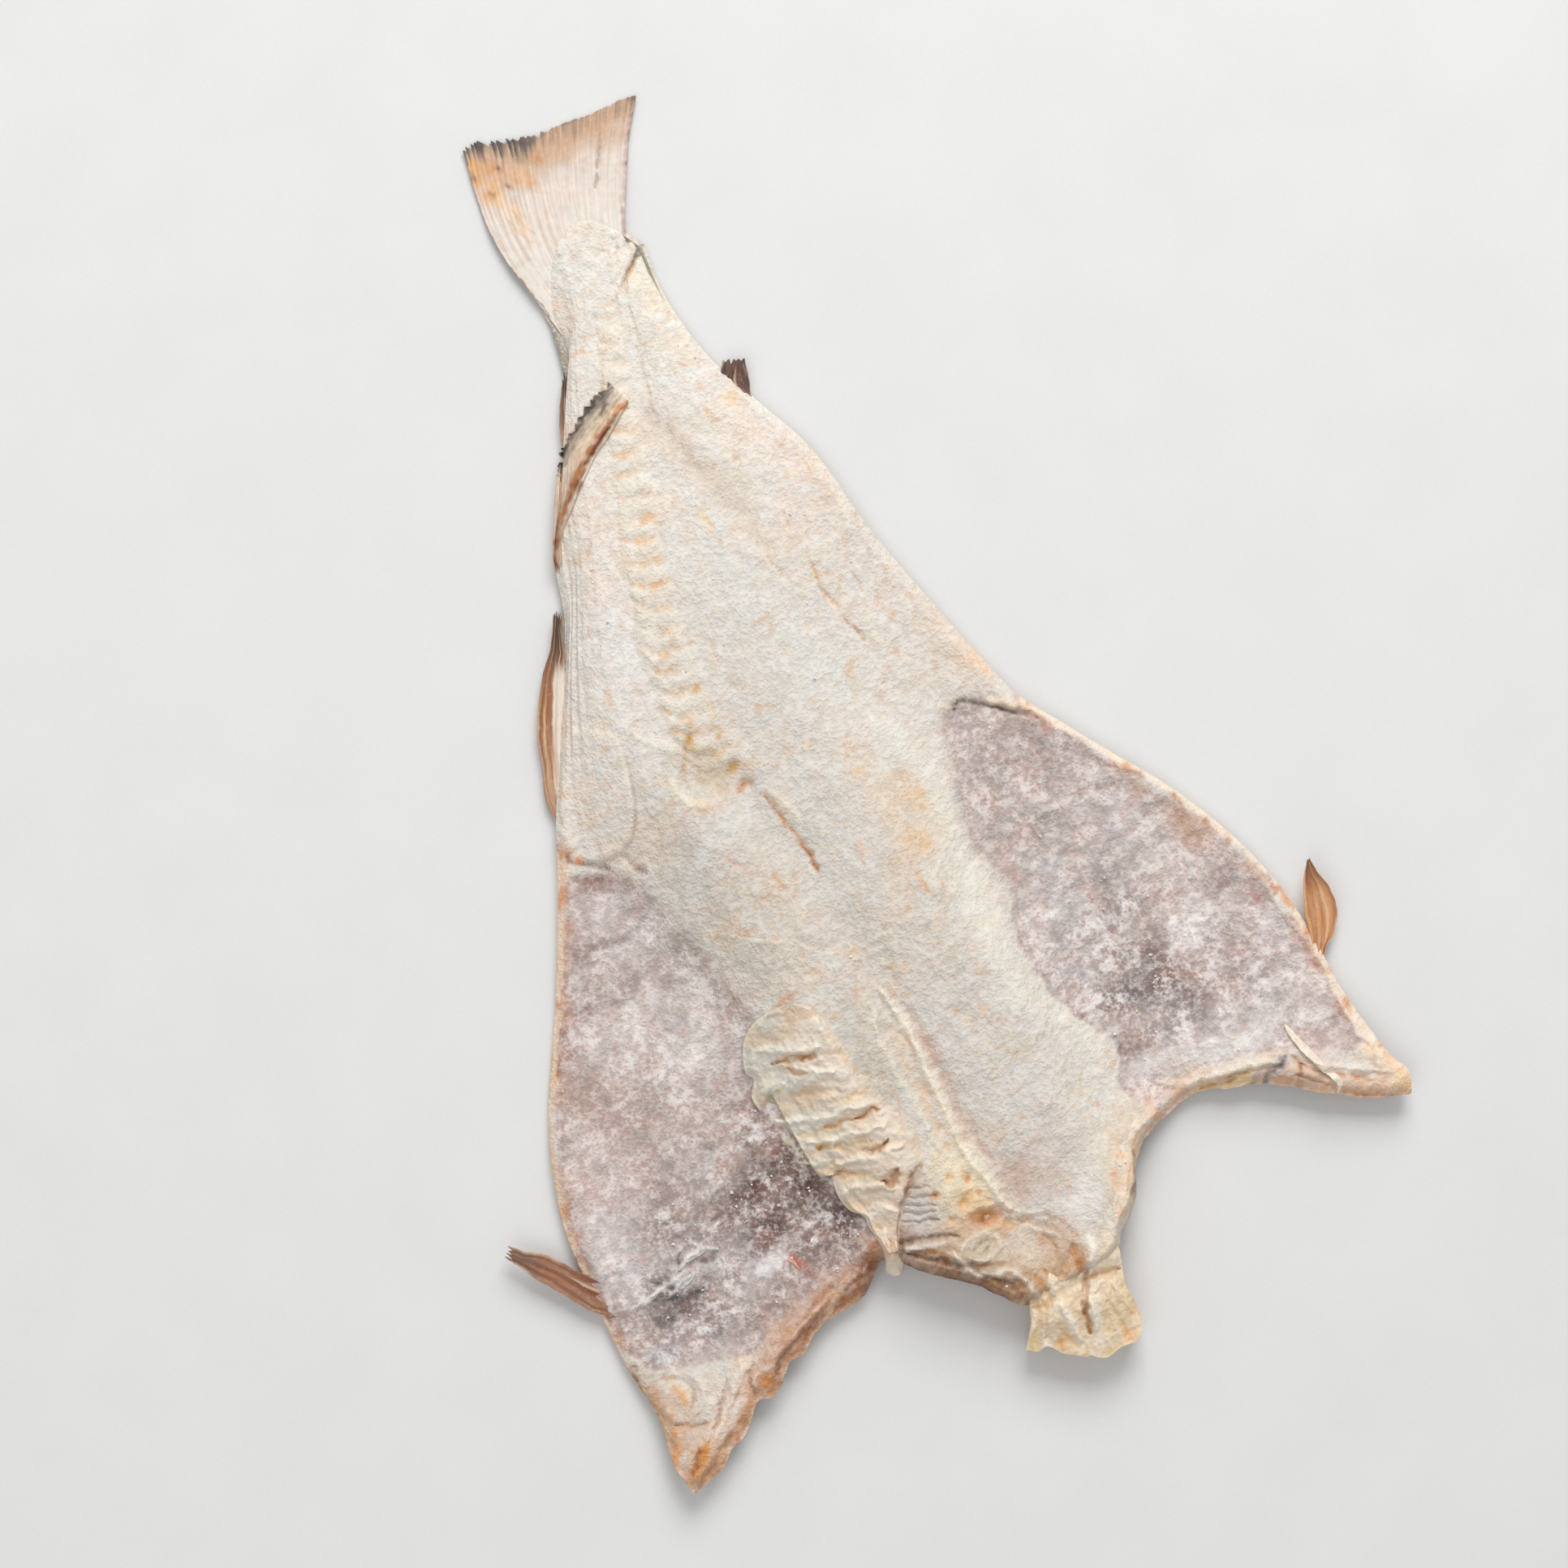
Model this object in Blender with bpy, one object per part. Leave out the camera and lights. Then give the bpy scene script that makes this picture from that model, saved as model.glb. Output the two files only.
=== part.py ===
"""Salted dried cod: a headless fish split along the belly and laid open, flesh side up.

The fish is one solid.  It lies on the XY plane with its tail towards +Y, its skin side down and
its flesh side up, and the origin is under the middle of its box.  Landmarks are millimetres on a
fish of the stated length and thickness, so the whole fish follows those two dimensions.
"""
import math

import bmesh
import bpy
import numpy as np
from mathutils import Vector

# Driving dimensions, in metres
LENGTH = 0.620        # from the tail fin's edge to the tip of the nape
THICKEST = 0.028      # the loins beside the cut spine
MM = LENGTH / 620.0   # one landmark millimetre in the plan
TALL = THICKEST / 28.0  # one landmark millimetre of height
MIDDLE = (-0.56, 1.5)  # the middle of the box among the plan landmarks

# The spine runs from the flesh's tongue on the tail fin to the cut nape
SPINE = [(20, 259), (13, 226), (4, 195), (-9, 144), (-22, 92), (-28, 39), (-21, -14), (-9, -62),
         (0, -110), (5, -174), (10, -225), (15, -275)]

# The two long edges of the opened fish, from the tail's narrowest part to the flap tips
LEFT_EDGE = [(-17, 226), (-15, 203), (-29, 177), (-44, 147), (-58, 121), (-66, 92), (-88, 49),
             (-106, 12), (-116, -13), (-139, -62), (-163, -108), (-174, -141), (-178, -170),
             (-177, -225), (-173, -252), (-175, -274), (-172, -290)]
RIGHT_EDGE = [(38, 236), (37, 212), (43, 181), (55, 153), (70, 119), (79, 76), (92, 32),
              (105, -8), (111, -22), (124, -41), (138, -61), (159, -91), (178, -130),
              (187, -168), (190, -203), (197, -236), (202, -247), (199, -257)]

# The short ends, from the spine outwards
LEFT_TONGUE = [(20, 259), (6, 254), (-8, 238), (-17, 226)]
RIGHT_TONGUE = [(20, 259), (29, 248), (38, 236)]
LEFT_CUT = [(15, -275), (-5, -267), (-31, -245), (-44, -233), (-53, -231), (-72, -242),
            (-99, -253), (-120, -266), (-137, -276), (-154, -286), (-172, -290)]
RIGHT_CUT = [(15, -275), (44, -268), (59, -257), (68, -243), (78, -226), (98, -218),
             (122, -221), (155, -236), (181, -251), (199, -257)]

# Heights in landmark millimetres by share of the way from tail to nape
CREST = [(0.0, 4.0), (0.07, 8.5), (0.15, 11.0), (0.30, 15.0), (0.45, 21.0), (0.60, 26.0),
         (0.75, 28.0), (0.90, 27.5), (1.0, 25.0)]
FLAP = [(0.0, 3.0), (0.10, 5.5), (0.40, 7.0), (0.60, 6.5), (0.85, 6.5), (0.95, 10.0),
        (1.0, 15.0)]
LOIN_LEFT = [(0.0, 0.95), (0.40, 0.95), (0.55, 0.66), (0.70, 0.46), (0.85, 0.44), (1.0, 0.46)]
LOIN_RIGHT = [(0.0, 0.95), (0.35, 0.92), (0.50, 0.72), (0.70, 0.44), (0.85, 0.46), (1.0, 0.52)]
ROLL = 4.0            # how far in from its edge the flesh rounds down
EDGE_SHARE = 0.55     # height kept at the very edge
UNDERCUT = 2.0        # the skin side is this much smaller all round
VALLEY = 3.0          # depth of the seam between the loins
VALLEY_WIDTH = 9.0

FIN = 2.2             # thickness of a dried fin

# The tail fin behind the flesh
TAIL_LEFT = [(-13, 214), (-21, 236), (-26, 256), (-26, 276), (-22, 300), (-19, 310)]
TAIL_RIGHT = [(35, 220), (32, 244), (39, 257), (46, 273), (55, 289), (62, 300)]
TAIL_HOLLOW = 3.0     # the trailing edge's curve
TAIL_RAYS = 9

# The backbone left in the tail half
VERTEBRAE = 20
BACKBONE = (0.12, 0.505)        # shares of the spine
BACKBONE_WIDTH = (7.5, 14.0)    # half widths at those shares
RIDGE = 1.8

ACROSS = 38
ALONG = 54


def smooth_step(share):
    """Ease from 0 to 1."""
    share = min(max(share, 0.0), 1.0)
    return share * share * (3.0 - 2.0 * share)


def read(stations, share):
    """Read a stated height or width between its stations."""
    places, values = zip(*stations)
    return float(np.interp(share, places, values))


class Path:
    """A smooth curve through landmarks, read by its share of length."""

    STEPS = 12

    def __init__(self, landmarks):
        points = [np.array(point, float) for point in landmarks]
        ends = [2 * points[0] - points[1]] + points + [2 * points[-1] - points[-2]]
        fine = [points[0]]
        for before, start, end, after in zip(ends, ends[1:], ends[2:], ends[3:]):
            for step in range(1, self.STEPS + 1):
                fine.append(self.blend(before, start, end, after, step / self.STEPS))
        self.points = np.array(fine)
        spans = np.linalg.norm(np.diff(self.points, axis=0), axis=1)
        self.length = float(spans.sum())
        self.shares = np.concatenate([[0.0], np.cumsum(spans)]) / self.length

    @staticmethod
    def blend(before, start, end, after, share):
        """Return a Catmull-Rom point between start and end."""
        square, cube = share * share, share ** 3
        return 0.5 * (2 * start + (end - before) * share
                      + (2 * before - 5 * start + 4 * end - after) * square
                      + (3 * start - before - 3 * end + after) * cube)

    def at(self, share):
        """Return the point at this share of the curve's length."""
        return np.array([np.interp(share, self.shares, self.points[:, axis])
                         for axis in (0, 1)])

    def side(self, share):
        """Return the unit vector across the curve, to the left of its run."""
        run = self.at(min(share + 0.01, 1.0)) - self.at(max(share - 0.01, 0.0))
        run /= np.linalg.norm(run)
        return np.array([-run[1], run[0]])


SPINE_PATH = Path(SPINE)
HALVES = {
    "left": (Path(LEFT_EDGE), Path(LEFT_TONGUE), Path(LEFT_CUT), LOIN_LEFT),
    "right": (Path(RIGHT_EDGE), Path(RIGHT_TONGUE), Path(RIGHT_CUT), LOIN_RIGHT),
}


def half(across):
    """Return the curves of the half of the fish that a place is in."""
    return HALVES["left" if across < 0 else "right"]


def plan(across, along):
    """Place a share of the width and length on the table, as a blend of four edge curves."""
    edge, tongue, cut, _ = half(across)
    reach = abs(across)
    between = (1 - reach) * SPINE_PATH.at(along) + reach * edge.at(along)
    ends = (1 - along) * tongue.at(reach) + along * cut.at(reach)
    corners = ((1 - along) * ((1 - reach) * tongue.at(0) + reach * tongue.at(1))
               + along * ((1 - reach) * cut.at(0) + reach * cut.at(1)))
    return between + ends - corners


def half_width(across, along):
    """Return the distance from the spine to the edge on this side."""
    return float(np.linalg.norm(half(across)[0].at(along) - SPINE_PATH.at(along)))


def flesh_height(across, along):
    """Return the height of the flesh over the table, in millimetres."""
    reach = abs(across)
    crest = read(CREST, along)
    flap = read(FLAP, along)
    loin = read(half(across)[3], along)
    fall = smooth_step((reach - 0.40 * loin) / (0.72 * loin))
    height = crest + (flap - crest) * fall
    width = half_width(across, along)
    seam = smooth_step((along - 0.42) / 0.1)
    height -= VALLEY * seam * math.exp(-((reach * width / VALLEY_WIDTH) ** 2))
    room = min((1 - reach) * width, (1 - along) * SPINE_PATH.length,
               along * SPINE_PATH.length + 0.5)
    return height * (1 - (1 - EDGE_SHARE) * math.exp(-((room / ROLL) ** 2)))


def spread(share):
    """Draw the grid's lines together towards its rim."""
    return 0.6 * share + 0.4 * math.sin(share * math.pi / 2)


def as_object(mesh, name, collection):
    """Turn a bmesh with outward faces into an object."""
    bmesh.ops.recalc_face_normals(mesh, faces=mesh.faces[:])
    data = bpy.data.meshes.new(name)
    mesh.to_mesh(data)
    mesh.free()
    data.shade_smooth()
    data.set_sharp_from_angle(angle=math.radians(50))
    thing = bpy.data.objects.new(name, data)
    collection.objects.link(thing)
    return thing


def slab(name, columns, rows, top, under, collection):
    """Make a closed slab from a grid: top and under place a vert from its two shares.

    The first share runs from -1 to 1 across, the second from 0 to 1 along.
    """
    mesh = bmesh.new()
    bmesh.ops.create_grid(mesh, x_segments=columns, y_segments=rows, size=1.0)
    shares = {vert: (vert.co.x, (1 - vert.co.y) / 2) for vert in mesh.verts}
    upper = list(mesh.verts)
    bmesh.ops.extrude_face_region(mesh, geom=mesh.faces[:])
    lower = [vert for vert in mesh.verts if vert not in shares]
    for vert in lower:
        vert.co = scaled(under(vert.co.x, (1 - vert.co.y) / 2))
    for vert in upper:
        vert.co = scaled(top(*shares[vert]))
    return as_object(mesh, name, collection)


def scaled(place):
    """Turn landmark millimetres into metres."""
    x, y, z = place
    return Vector(((x - MIDDLE[0]) * MM, (y - MIDDLE[1]) * MM, z * TALL))


def body_top(column, row):
    """Place a vert of the flesh."""
    across, along = spread(column), (1 + spread(2 * row - 1)) / 2
    x, y = plan(across, along)
    return x, y, flesh_height(across, along)


def body_under(column, row):
    """Place a vert of the flat skin side, which is drawn in all round."""
    across, along = spread(column), (1 + spread(2 * row - 1)) / 2
    inset = UNDERCUT / half_width(across, along)
    margin = UNDERCUT / SPINE_PATH.length
    x, y = plan(across * (1 - inset), margin + along * (1 - 2 * margin))
    return x, y, 0.0


def strip(name, left, right, columns, rows, upper, lower, collection, hollow=0.0):
    """Make a closed strip between two curves; upper and lower give its heights.

    hollow draws the middle of its far end back.
    """
    left_path, right_path = Path(left), Path(right)

    def place(column, row):
        share = (column + 1) / 2
        point = (1 - share) * left_path.at(row) + share * right_path.at(row)
        return point - np.array([0.0, hollow * smooth_step(2 * row - 1) * (1 - column ** 2)])

    def top(column, row):
        return (*place(column, row), upper(column, row))

    def under(column, row):
        return (*place(column, row), lower(column, row))

    return slab(name, columns, rows, top, under, collection)


def ribs(column, count, deep):
    """Return the height of fin rays across a fin."""
    return deep * math.cos(column * math.pi * count)


def build_tail_fin(collection):
    """The thin fan of rays, with a slightly hollow trailing edge."""
    def lower(column, row):
        return 0.6 + ribs(column, TAIL_RAYS / 2, 0.25) * row

    def upper(column, row):
        return lower(column, row) + FIN * (1.3 - 0.6 * row)

    return strip("tail_fin", TAIL_LEFT, TAIL_RIGHT, 19, 8, upper, lower, collection,
                 hollow=TAIL_HOLLOW)


def build_backbone(collection):
    """The row of vertebrae, broader towards the vent."""
    start, end = BACKBONE

    def place(column, row):
        share = start + row * (end - start)
        half_span = BACKBONE_WIDTH[0] + row * (BACKBONE_WIDTH[1] - BACKBONE_WIDTH[0])
        bow = 3.0 * (1 - column * column)
        centre = SPINE_PATH.at(share - bow / SPINE_PATH.length)
        return share, centre + SPINE_PATH.side(share) * half_span * column

    def top(column, row):
        share, (x, y) = place(column, row)
        ridge = RIDGE * (0.5 - 0.5 * math.cos(row * VERTEBRAE * 2 * math.pi))
        arch = 1 - abs(column) ** 2.5
        return x, y, flesh_height(0.01, share) - 1.2 + (1.6 + ridge) * arch

    def under(column, row):
        share, (x, y) = place(column, row)
        return x, y, flesh_height(0.01, share) - 5.0

    return slab("backbone", 6, VERTEBRAE * 4, top, under, collection)


# Raised tissue on the flesh: outline curves from tail to nape, height over the table, folds
MEMBRANE_LEFT = [(-50, -106), (-62, -109), (-70, -119), (-75, -137), (-77, -158), (-72, -174),
                 (-62, -182), (-57, -193), (-53, -203), (-47, -222)]
MEMBRANE_RIGHT = [(-48, -104), (-40, -111), (-36, -124), (-35, -140), (-31, -157), (-24, -170),
                  (-22, -184), (-24, -199), (-31, -212), (-41, -223)]
MEMBRANE_FOLDS = 6
SEPTUM_LEFT = [(-1, -112), (-2, -128), (-3, -160), (0, -194), (4, -228)]
SEPTUM_RIGHT = [(1, -112), (3, -128), (5, -160), (9, -194), (14, -228)]
NAPE_LEFT = [(-43, -220), (-22, -208), (-2, -222), (12, -246), (20, -262)]
NAPE_RIGHT = [(-43, -234), (-31, -246), (-16, -259), (-5, -269), (4, -278)]
LOBE_LEFT = [(14, -258), (3, -275), (-3, -286), (-6, -295), (6, -300)]
LOBE_RIGHT = [(46, -262), (45, -275), (46, -287), (47, -296), (43, -307)]
NAPE_HEIGHT = 25.0


def build_membrane(collection):
    """The ruffled skin of the swim bladder beside the spine."""
    def upper(column, row):
        dome = 1 - column ** 4
        fold = math.sin(row * MEMBRANE_FOLDS * 2 * math.pi + 1.5 * column)
        base = 13.0 + 9.0 * smooth_step((column + 1) / 2) + 4.0 * row
        return base + (4.0 + 1.2 * fold) * dome * min(1.0, 6 * row * (1 - row) + 0.3)

    def lower(column, row):
        return 3.0

    return strip("membrane", MEMBRANE_LEFT, MEMBRANE_RIGHT, 7, 26, upper, lower, collection)


def build_septum(collection):
    """The cream ridge in the seam between the loins."""
    def upper(column, row):
        return 24.0 + 5.5 * smooth_step(2.5 * row) * (1 - 0.8 * column * column)

    def lower(column, row):
        return 16.0

    return strip("septum", SEPTUM_LEFT, SEPTUM_RIGHT, 4, 16, upper, lower, collection)


def build_nape(collection):
    """The wrinkled bundle along the cut nape, and the cartilage lobe that sticks out of it."""
    def bundle_height(column, row):
        wrinkle = 0.8 * math.cos(row * 9 * math.pi)
        return NAPE_HEIGHT + (2.5 + wrinkle) * (1 - column ** 2) - 2.0 * column

    def bundle_base(column, row):
        return 9.0

    def lobe_height(column, row):
        groove = 4.0 * math.exp(-((column - 0.1) / 0.16) ** 2) * smooth_step(2 * row)
        return NAPE_HEIGHT - 4.0 + 3.0 * (1 - column ** 4) - groove - 3.0 * row ** 3

    def lobe_base(column, row):
        return 4.0 + 3.0 * column ** 2

    return [
        strip("nape_bundle", NAPE_LEFT, NAPE_RIGHT, 6, 20, bundle_height, bundle_base,
              collection),
        strip("nape_lobe", LOBE_LEFT, LOBE_RIGHT, 10, 9, lobe_height, lobe_base, collection),
    ]


# Fins: two edge curves from root to tip, and the height of root and tip over the table
FINS = {
    "right_pectoral": ([(182, -160), (192, -154), (198, -144)],
                       [(183, -189), (200, -175), (204, -160), (201, -144)], 4.0, 9.0),
    "left_pectoral": ([(-165, -198), (-176, -200), (-184, -188), (-194, -175), (-205, -162)],
                      [(-165, -182), (-175, -184), (-182, -174), (-191, -164), (-202, -157)],
                      5.0, 10.0),
    "right_stub": ([(40, 146), (43, 158), (47, 169)], [(50, 140), (54, 155), (57, 169)],
                   4.0, 5.0),
    "left_anal": ([(-101, 12), (-99, 34), (-93, 52), (-88, 66), (-84, 76), (-73, 95)],
                  [(-92, 16), (-87, 36), (-80, 54), (-74, 66), (-69, 76), (-69, 90)], 4.5, 4.5),
    "left_sliver": ([(-30, 166), (-29, 176), (-26, 185), (-21, 195)],
                    [(-24, 168), (-22, 178), (-19, 187), (-18, 195)], 5.0, 6.0),
    "folded_anal": ([(-60, 112), (-53, 130), (-45, 144), (-37, 157), (-25, 172), (-3, 181)],
                    [(-51, 113), (-45, 126), (-37, 135), (-28, 146), (-17, 159), (0, 175)],
                    10.0, 16.0),
}
FOLDED_DEPTH = 5.0


def build_fin(name, collection):
    """One dried fin, its rays running from root to tip."""
    left, right, root, tip = FINS[name]

    depth = FOLDED_DEPTH if name == "folded_anal" else FIN

    def upper(column, row):
        return root + (tip - root) * row + ribs(column, 2, 0.3)

    def lower(column, row):
        return upper(column, row) - depth

    return strip(name, left, right, 6, 8, upper, lower, collection)


def join(target, tool):
    """Unite a cutter with the target."""
    tool.hide_render = True
    tool.display_type = "WIRE"
    union = target.modifiers.new(tool.name, "BOOLEAN")
    union.operation = "UNION"
    union.solver = "EXACT"
    union.object = tool


def flesh_material():
    """Creamy, salt-dusted flesh."""
    material = bpy.data.materials.new("salted_flesh")
    material.use_nodes = True
    shader = material.node_tree.nodes["Principled BSDF"]
    shader.inputs["Base Color"].default_value = (0.72, 0.64, 0.52, 1.0)
    shader.inputs["Roughness"].default_value = 0.75
    shader.inputs["Metallic"].default_value = 0.0
    return material


def new_collection(name):
    """Return a new collection in the scene."""
    collection = bpy.data.collections.new(name)
    bpy.context.scene.collection.children.link(collection)
    return collection


def main():
    """Build the fish in an empty scene."""
    for thing in list(bpy.data.objects):
        bpy.data.objects.remove(thing)
    parts = new_collection("salted_dried_cod")
    tools = new_collection("cutters")

    fish = slab("salted_dried_cod", ACROSS, ALONG, body_top, body_under, parts)
    fish.data.materials.append(flesh_material())

    pieces = [build_tail_fin(tools), build_backbone(tools), build_membrane(tools),
              build_septum(tools)]
    pieces += build_nape(tools)
    pieces += [build_fin(name, tools) for name in FINS]
    for piece in pieces:
        join(fish, piece)


main()
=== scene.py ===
"""Salted dried cod, split and laid open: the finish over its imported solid."""
import math

import bpy
import numpy as np
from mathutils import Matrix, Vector
from mathutils.bvhtree import BVHTree


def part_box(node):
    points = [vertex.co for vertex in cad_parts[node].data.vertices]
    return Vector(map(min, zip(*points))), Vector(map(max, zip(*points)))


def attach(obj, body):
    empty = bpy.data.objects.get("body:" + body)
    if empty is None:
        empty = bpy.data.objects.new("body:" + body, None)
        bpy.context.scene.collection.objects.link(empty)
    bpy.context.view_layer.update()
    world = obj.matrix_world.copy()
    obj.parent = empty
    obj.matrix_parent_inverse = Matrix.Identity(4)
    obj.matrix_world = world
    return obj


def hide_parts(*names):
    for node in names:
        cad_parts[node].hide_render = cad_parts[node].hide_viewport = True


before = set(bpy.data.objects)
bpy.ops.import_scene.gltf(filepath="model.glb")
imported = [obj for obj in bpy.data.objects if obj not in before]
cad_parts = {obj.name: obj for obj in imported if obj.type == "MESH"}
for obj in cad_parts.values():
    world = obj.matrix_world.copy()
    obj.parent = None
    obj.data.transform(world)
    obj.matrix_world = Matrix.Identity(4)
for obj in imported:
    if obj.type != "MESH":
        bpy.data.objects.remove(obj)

bl_info = {
    "name": "Salted Dried Cod",
    "version": (1, 0, 0),
    "blender": (4, 5, 0),
    "location": "View3D > Sidebar > Salt Cod",
    "description": "Builds a split and salted cod, laid open with its flesh up",
    "category": "Add Mesh",
}

# The solid that everything here stands for, and its box
NODE = "salted_dried_cod"
LOW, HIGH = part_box(NODE)
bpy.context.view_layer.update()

# Landmarks are millimetres on a fish 617 mm long and 29.5 mm high
MM = (HIGH.y - LOW.y) / 617.0
TALL = (HIGH.z - LOW.z) / 29.5
MIDDLE = (-0.56, 1.5)


# ---- Curves, noise and soft masks, in landmark millimetres ----

def smooth(share):
    """Ease from 0 to 1 over the same range."""
    share = np.clip(share, 0.0, 1.0)
    return share * share * (3.0 - 2.0 * share)


def hump(distance, width):
    """Return a bell of height 1 and about this half width."""
    return np.exp(-((distance / width) ** 2))


def read(stations, share):
    """Read a stated height or width between its stations."""
    places, values = zip(*stations)
    return np.interp(share, places, values)


class Path:
    """A smooth curve through landmarks."""

    STEPS = 10  # between two landmarks
    LOT = 6000  # spots worked out at once
    FAR = 1e3

    def __init__(self, landmarks, closed=False):
        points = [np.array(point, float) for point in landmarks]
        if closed:
            ends = [points[-1]] + points + points[:2]
        else:
            ends = [2 * points[0] - points[1]] + points + [2 * points[-1] - points[-2]]
        fine = [points[0]]
        for before, start, end, after in zip(ends, ends[1:], ends[2:], ends[3:]):
            for step in range(1, self.STEPS + 1):
                fine.append(self.blend(before, start, end, after, step / self.STEPS))
        self.points = np.array(fine)
        spans = np.linalg.norm(np.diff(self.points, axis=0), axis=1)
        self.length = float(spans.sum())
        self.shares = np.concatenate([[0.0], np.cumsum(spans)]) / self.length

    @staticmethod
    def blend(before, start, end, after, share):
        """Return a Catmull-Rom point between start and end."""
        square, cube = share * share, share ** 3
        return 0.5 * (2 * start + (end - before) * share
                      + (2 * before - 5 * start + 4 * end - after) * square
                      + (3 * start - before - 3 * end + after) * cube)

    def at(self, share):
        """Return the points at these shares of the length."""
        share = np.asarray(share, float)
        return np.stack([np.interp(share, self.shares, self.points[:, axis])
                         for axis in (0, 1)], axis=-1)

    def nearest(self, spots, reach=40.0):
        """Return each spot's distance, share and side; spots out of reach are far away."""
        distance = np.full(len(spots), self.FAR)
        share = np.zeros(len(spots))
        side = np.ones(len(spots))
        start, run = self.points[:-1], np.diff(self.points, axis=0)
        square = (run ** 2).sum(1)
        for part in self.near(spots, reach):
            gap = spots[part][:, None] - start[None]
            along = np.clip((gap * run).sum(-1) / square, 0, 1)
            far = ((gap - along[..., None] * run) ** 2).sum(-1)
            best = far.argmin(1)
            row = np.arange(len(part))
            distance[part] = np.sqrt(far[row, best])
            step = along[row, best]
            share[part] = self.shares[best] + step * (self.shares[best + 1] - self.shares[best])
            cross = run[best, 0] * gap[row, best, 1] - run[best, 1] * gap[row, best, 0]
            side[part] = np.where(cross >= 0, 1.0, -1.0)
        return distance, share, side

    def near(self, spots, reach):
        """Return the numbers of the spots near the curve, in handy lots."""
        low, high = self.points.min(0) - reach, self.points.max(0) + reach
        close = np.flatnonzero(((spots > low) & (spots < high)).all(1))
        return np.array_split(close, len(close) // self.LOT + 1)

    def inside(self, spots):
        """Return whether each spot is inside the closed curve."""
        found = np.zeros(len(spots), bool)
        start, end = self.points[:-1], self.points[1:]
        rise = end[:, 1] - start[:, 1]
        rise = np.where(rise == 0, 1e-9, rise)
        for part in self.near(spots, 0.0):
            x, y = spots[part, 0][:, None], spots[part, 1][:, None]
            spans = (start[:, 1] > y) != (end[:, 1] > y)
            meets = x < (end[:, 0] - start[:, 0]) * (y - start[:, 1]) / rise + start[:, 0]
            found[part] = (spans & meets).sum(1) % 2 == 1
        return found


class Patch:
    """A closed area whose rim can be read from either side."""

    def __init__(self, landmarks):
        self.path = Path(landmarks, closed=True)

    def depth(self, spots):
        """Return how far inside the rim each spot is; outside is negative."""
        distance, _, _ = self.path.nearest(spots)
        return np.where(self.path.inside(spots), distance, -distance)


def noise(spots, size, seed=0):
    """Return smooth lumps of about this size, from -1 to 1."""
    turn = 0.7 + seed
    x = (spots[..., 0] * math.cos(turn) - spots[..., 1] * math.sin(turn)) / size + 71.3 * seed
    y = (spots[..., 0] * math.sin(turn) + spots[..., 1] * math.cos(turn)) / size - 37.9 * seed
    column, row = np.floor(x).astype(np.int64), np.floor(y).astype(np.int64)
    right, up = smooth(x - column), smooth(y - row)

    def corner(over, above):
        key = (column + over) * 374761393 + (row + above) * 668265263 + seed * 974634777
        key = ((key ^ (key >> 13)) * 1274126177) & 0x7FFFFFFF
        return ((key ^ (key >> 16)) & 0xFFFF) / 32767.5 - 1

    below = corner(0, 0) * (1 - right) + corner(1, 0) * right
    above = corner(0, 1) * (1 - right) + corner(1, 1) * right
    return below * (1 - up) + above * up


def rough(spots, size, seed=0, octaves=3):
    """Return noise with finer lumps on its lumps."""
    total, weight = 0.0, 1.0
    for octave in range(octaves):
        total = total + weight * noise(spots, size / 2.1 ** octave, seed + octave)
        weight *= 0.5
    return total / 1.6


def stretch(first, second, long=1):
    """Pair two shares as places whose noise is drawn out along the second one."""
    return np.stack([first, second / long], axis=-1)


def stroke(spots, landmarks, width):
    """Return a soft stroke along a curve, thinner towards its ends."""
    distance, share, _ = Path(landmarks).nearest(spots, 5 * width)
    taper = 0.35 + 0.65 * np.sqrt(np.clip(4 * share * (1 - share), 0, 1))
    return hump(distance, width * taper)


def blot(spots, x, y, wide, tall, turn=0.0):
    """Return a soft oval patch."""
    angle = math.radians(turn)
    across = (spots[:, 0] - x) * math.cos(angle) + (spots[:, 1] - y) * math.sin(angle)
    along = (spots[:, 1] - y) * math.cos(angle) - (spots[:, 0] - x) * math.sin(angle)
    return np.exp(-((across / wide) ** 2) - (along / tall) ** 2)


# The strength of a mark that states none, and the salt's contrast on every mark
MARK_STRENGTH = 0.9
MARK_GRAIN = 0.12


def draw(spots, marks, paint=None, wander=1.0):
    """Colour the marks on a paint and return how far they rise.

    A mark is a line of landmarks with a width, or one landmark with a half width, a half length
    and perhaps a turn; then its rise, its display colour and perhaps its strength.
    """
    ragged = stretch(rough(spots, 6, 61) + 0.6 * noise(spots, 2.1, 63),
                     rough(spots, 6, 67) + 0.6 * noise(spots, 2.1, 69))
    worn = 0.55 + 0.7 * smooth(0.5 + 0.9 * rough(spots, 3.4, 71))
    spots = spots + wander * ragged
    rise = np.zeros(len(spots))
    for place, size, up, shade, *strength in marks:
        line = isinstance(place, list)
        mask = stroke(spots, place, size) if line else blot(spots, *place, *size)
        rise += up * mask
        if paint:
            paint.wash(mask * worn * (strength or [MARK_STRENGTH])[0], shade, MARK_GRAIN)
    return rise


def tone(shade):
    """Turn a display colour, one number for red, green and blue, into linear light."""
    shares = np.array([shade >> 16, shade >> 8 & 255, shade & 255]) / 255
    return np.where(shares < 0.04045, shares / 12.92, ((shares + 0.055) / 1.055) ** 2.4)


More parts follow.
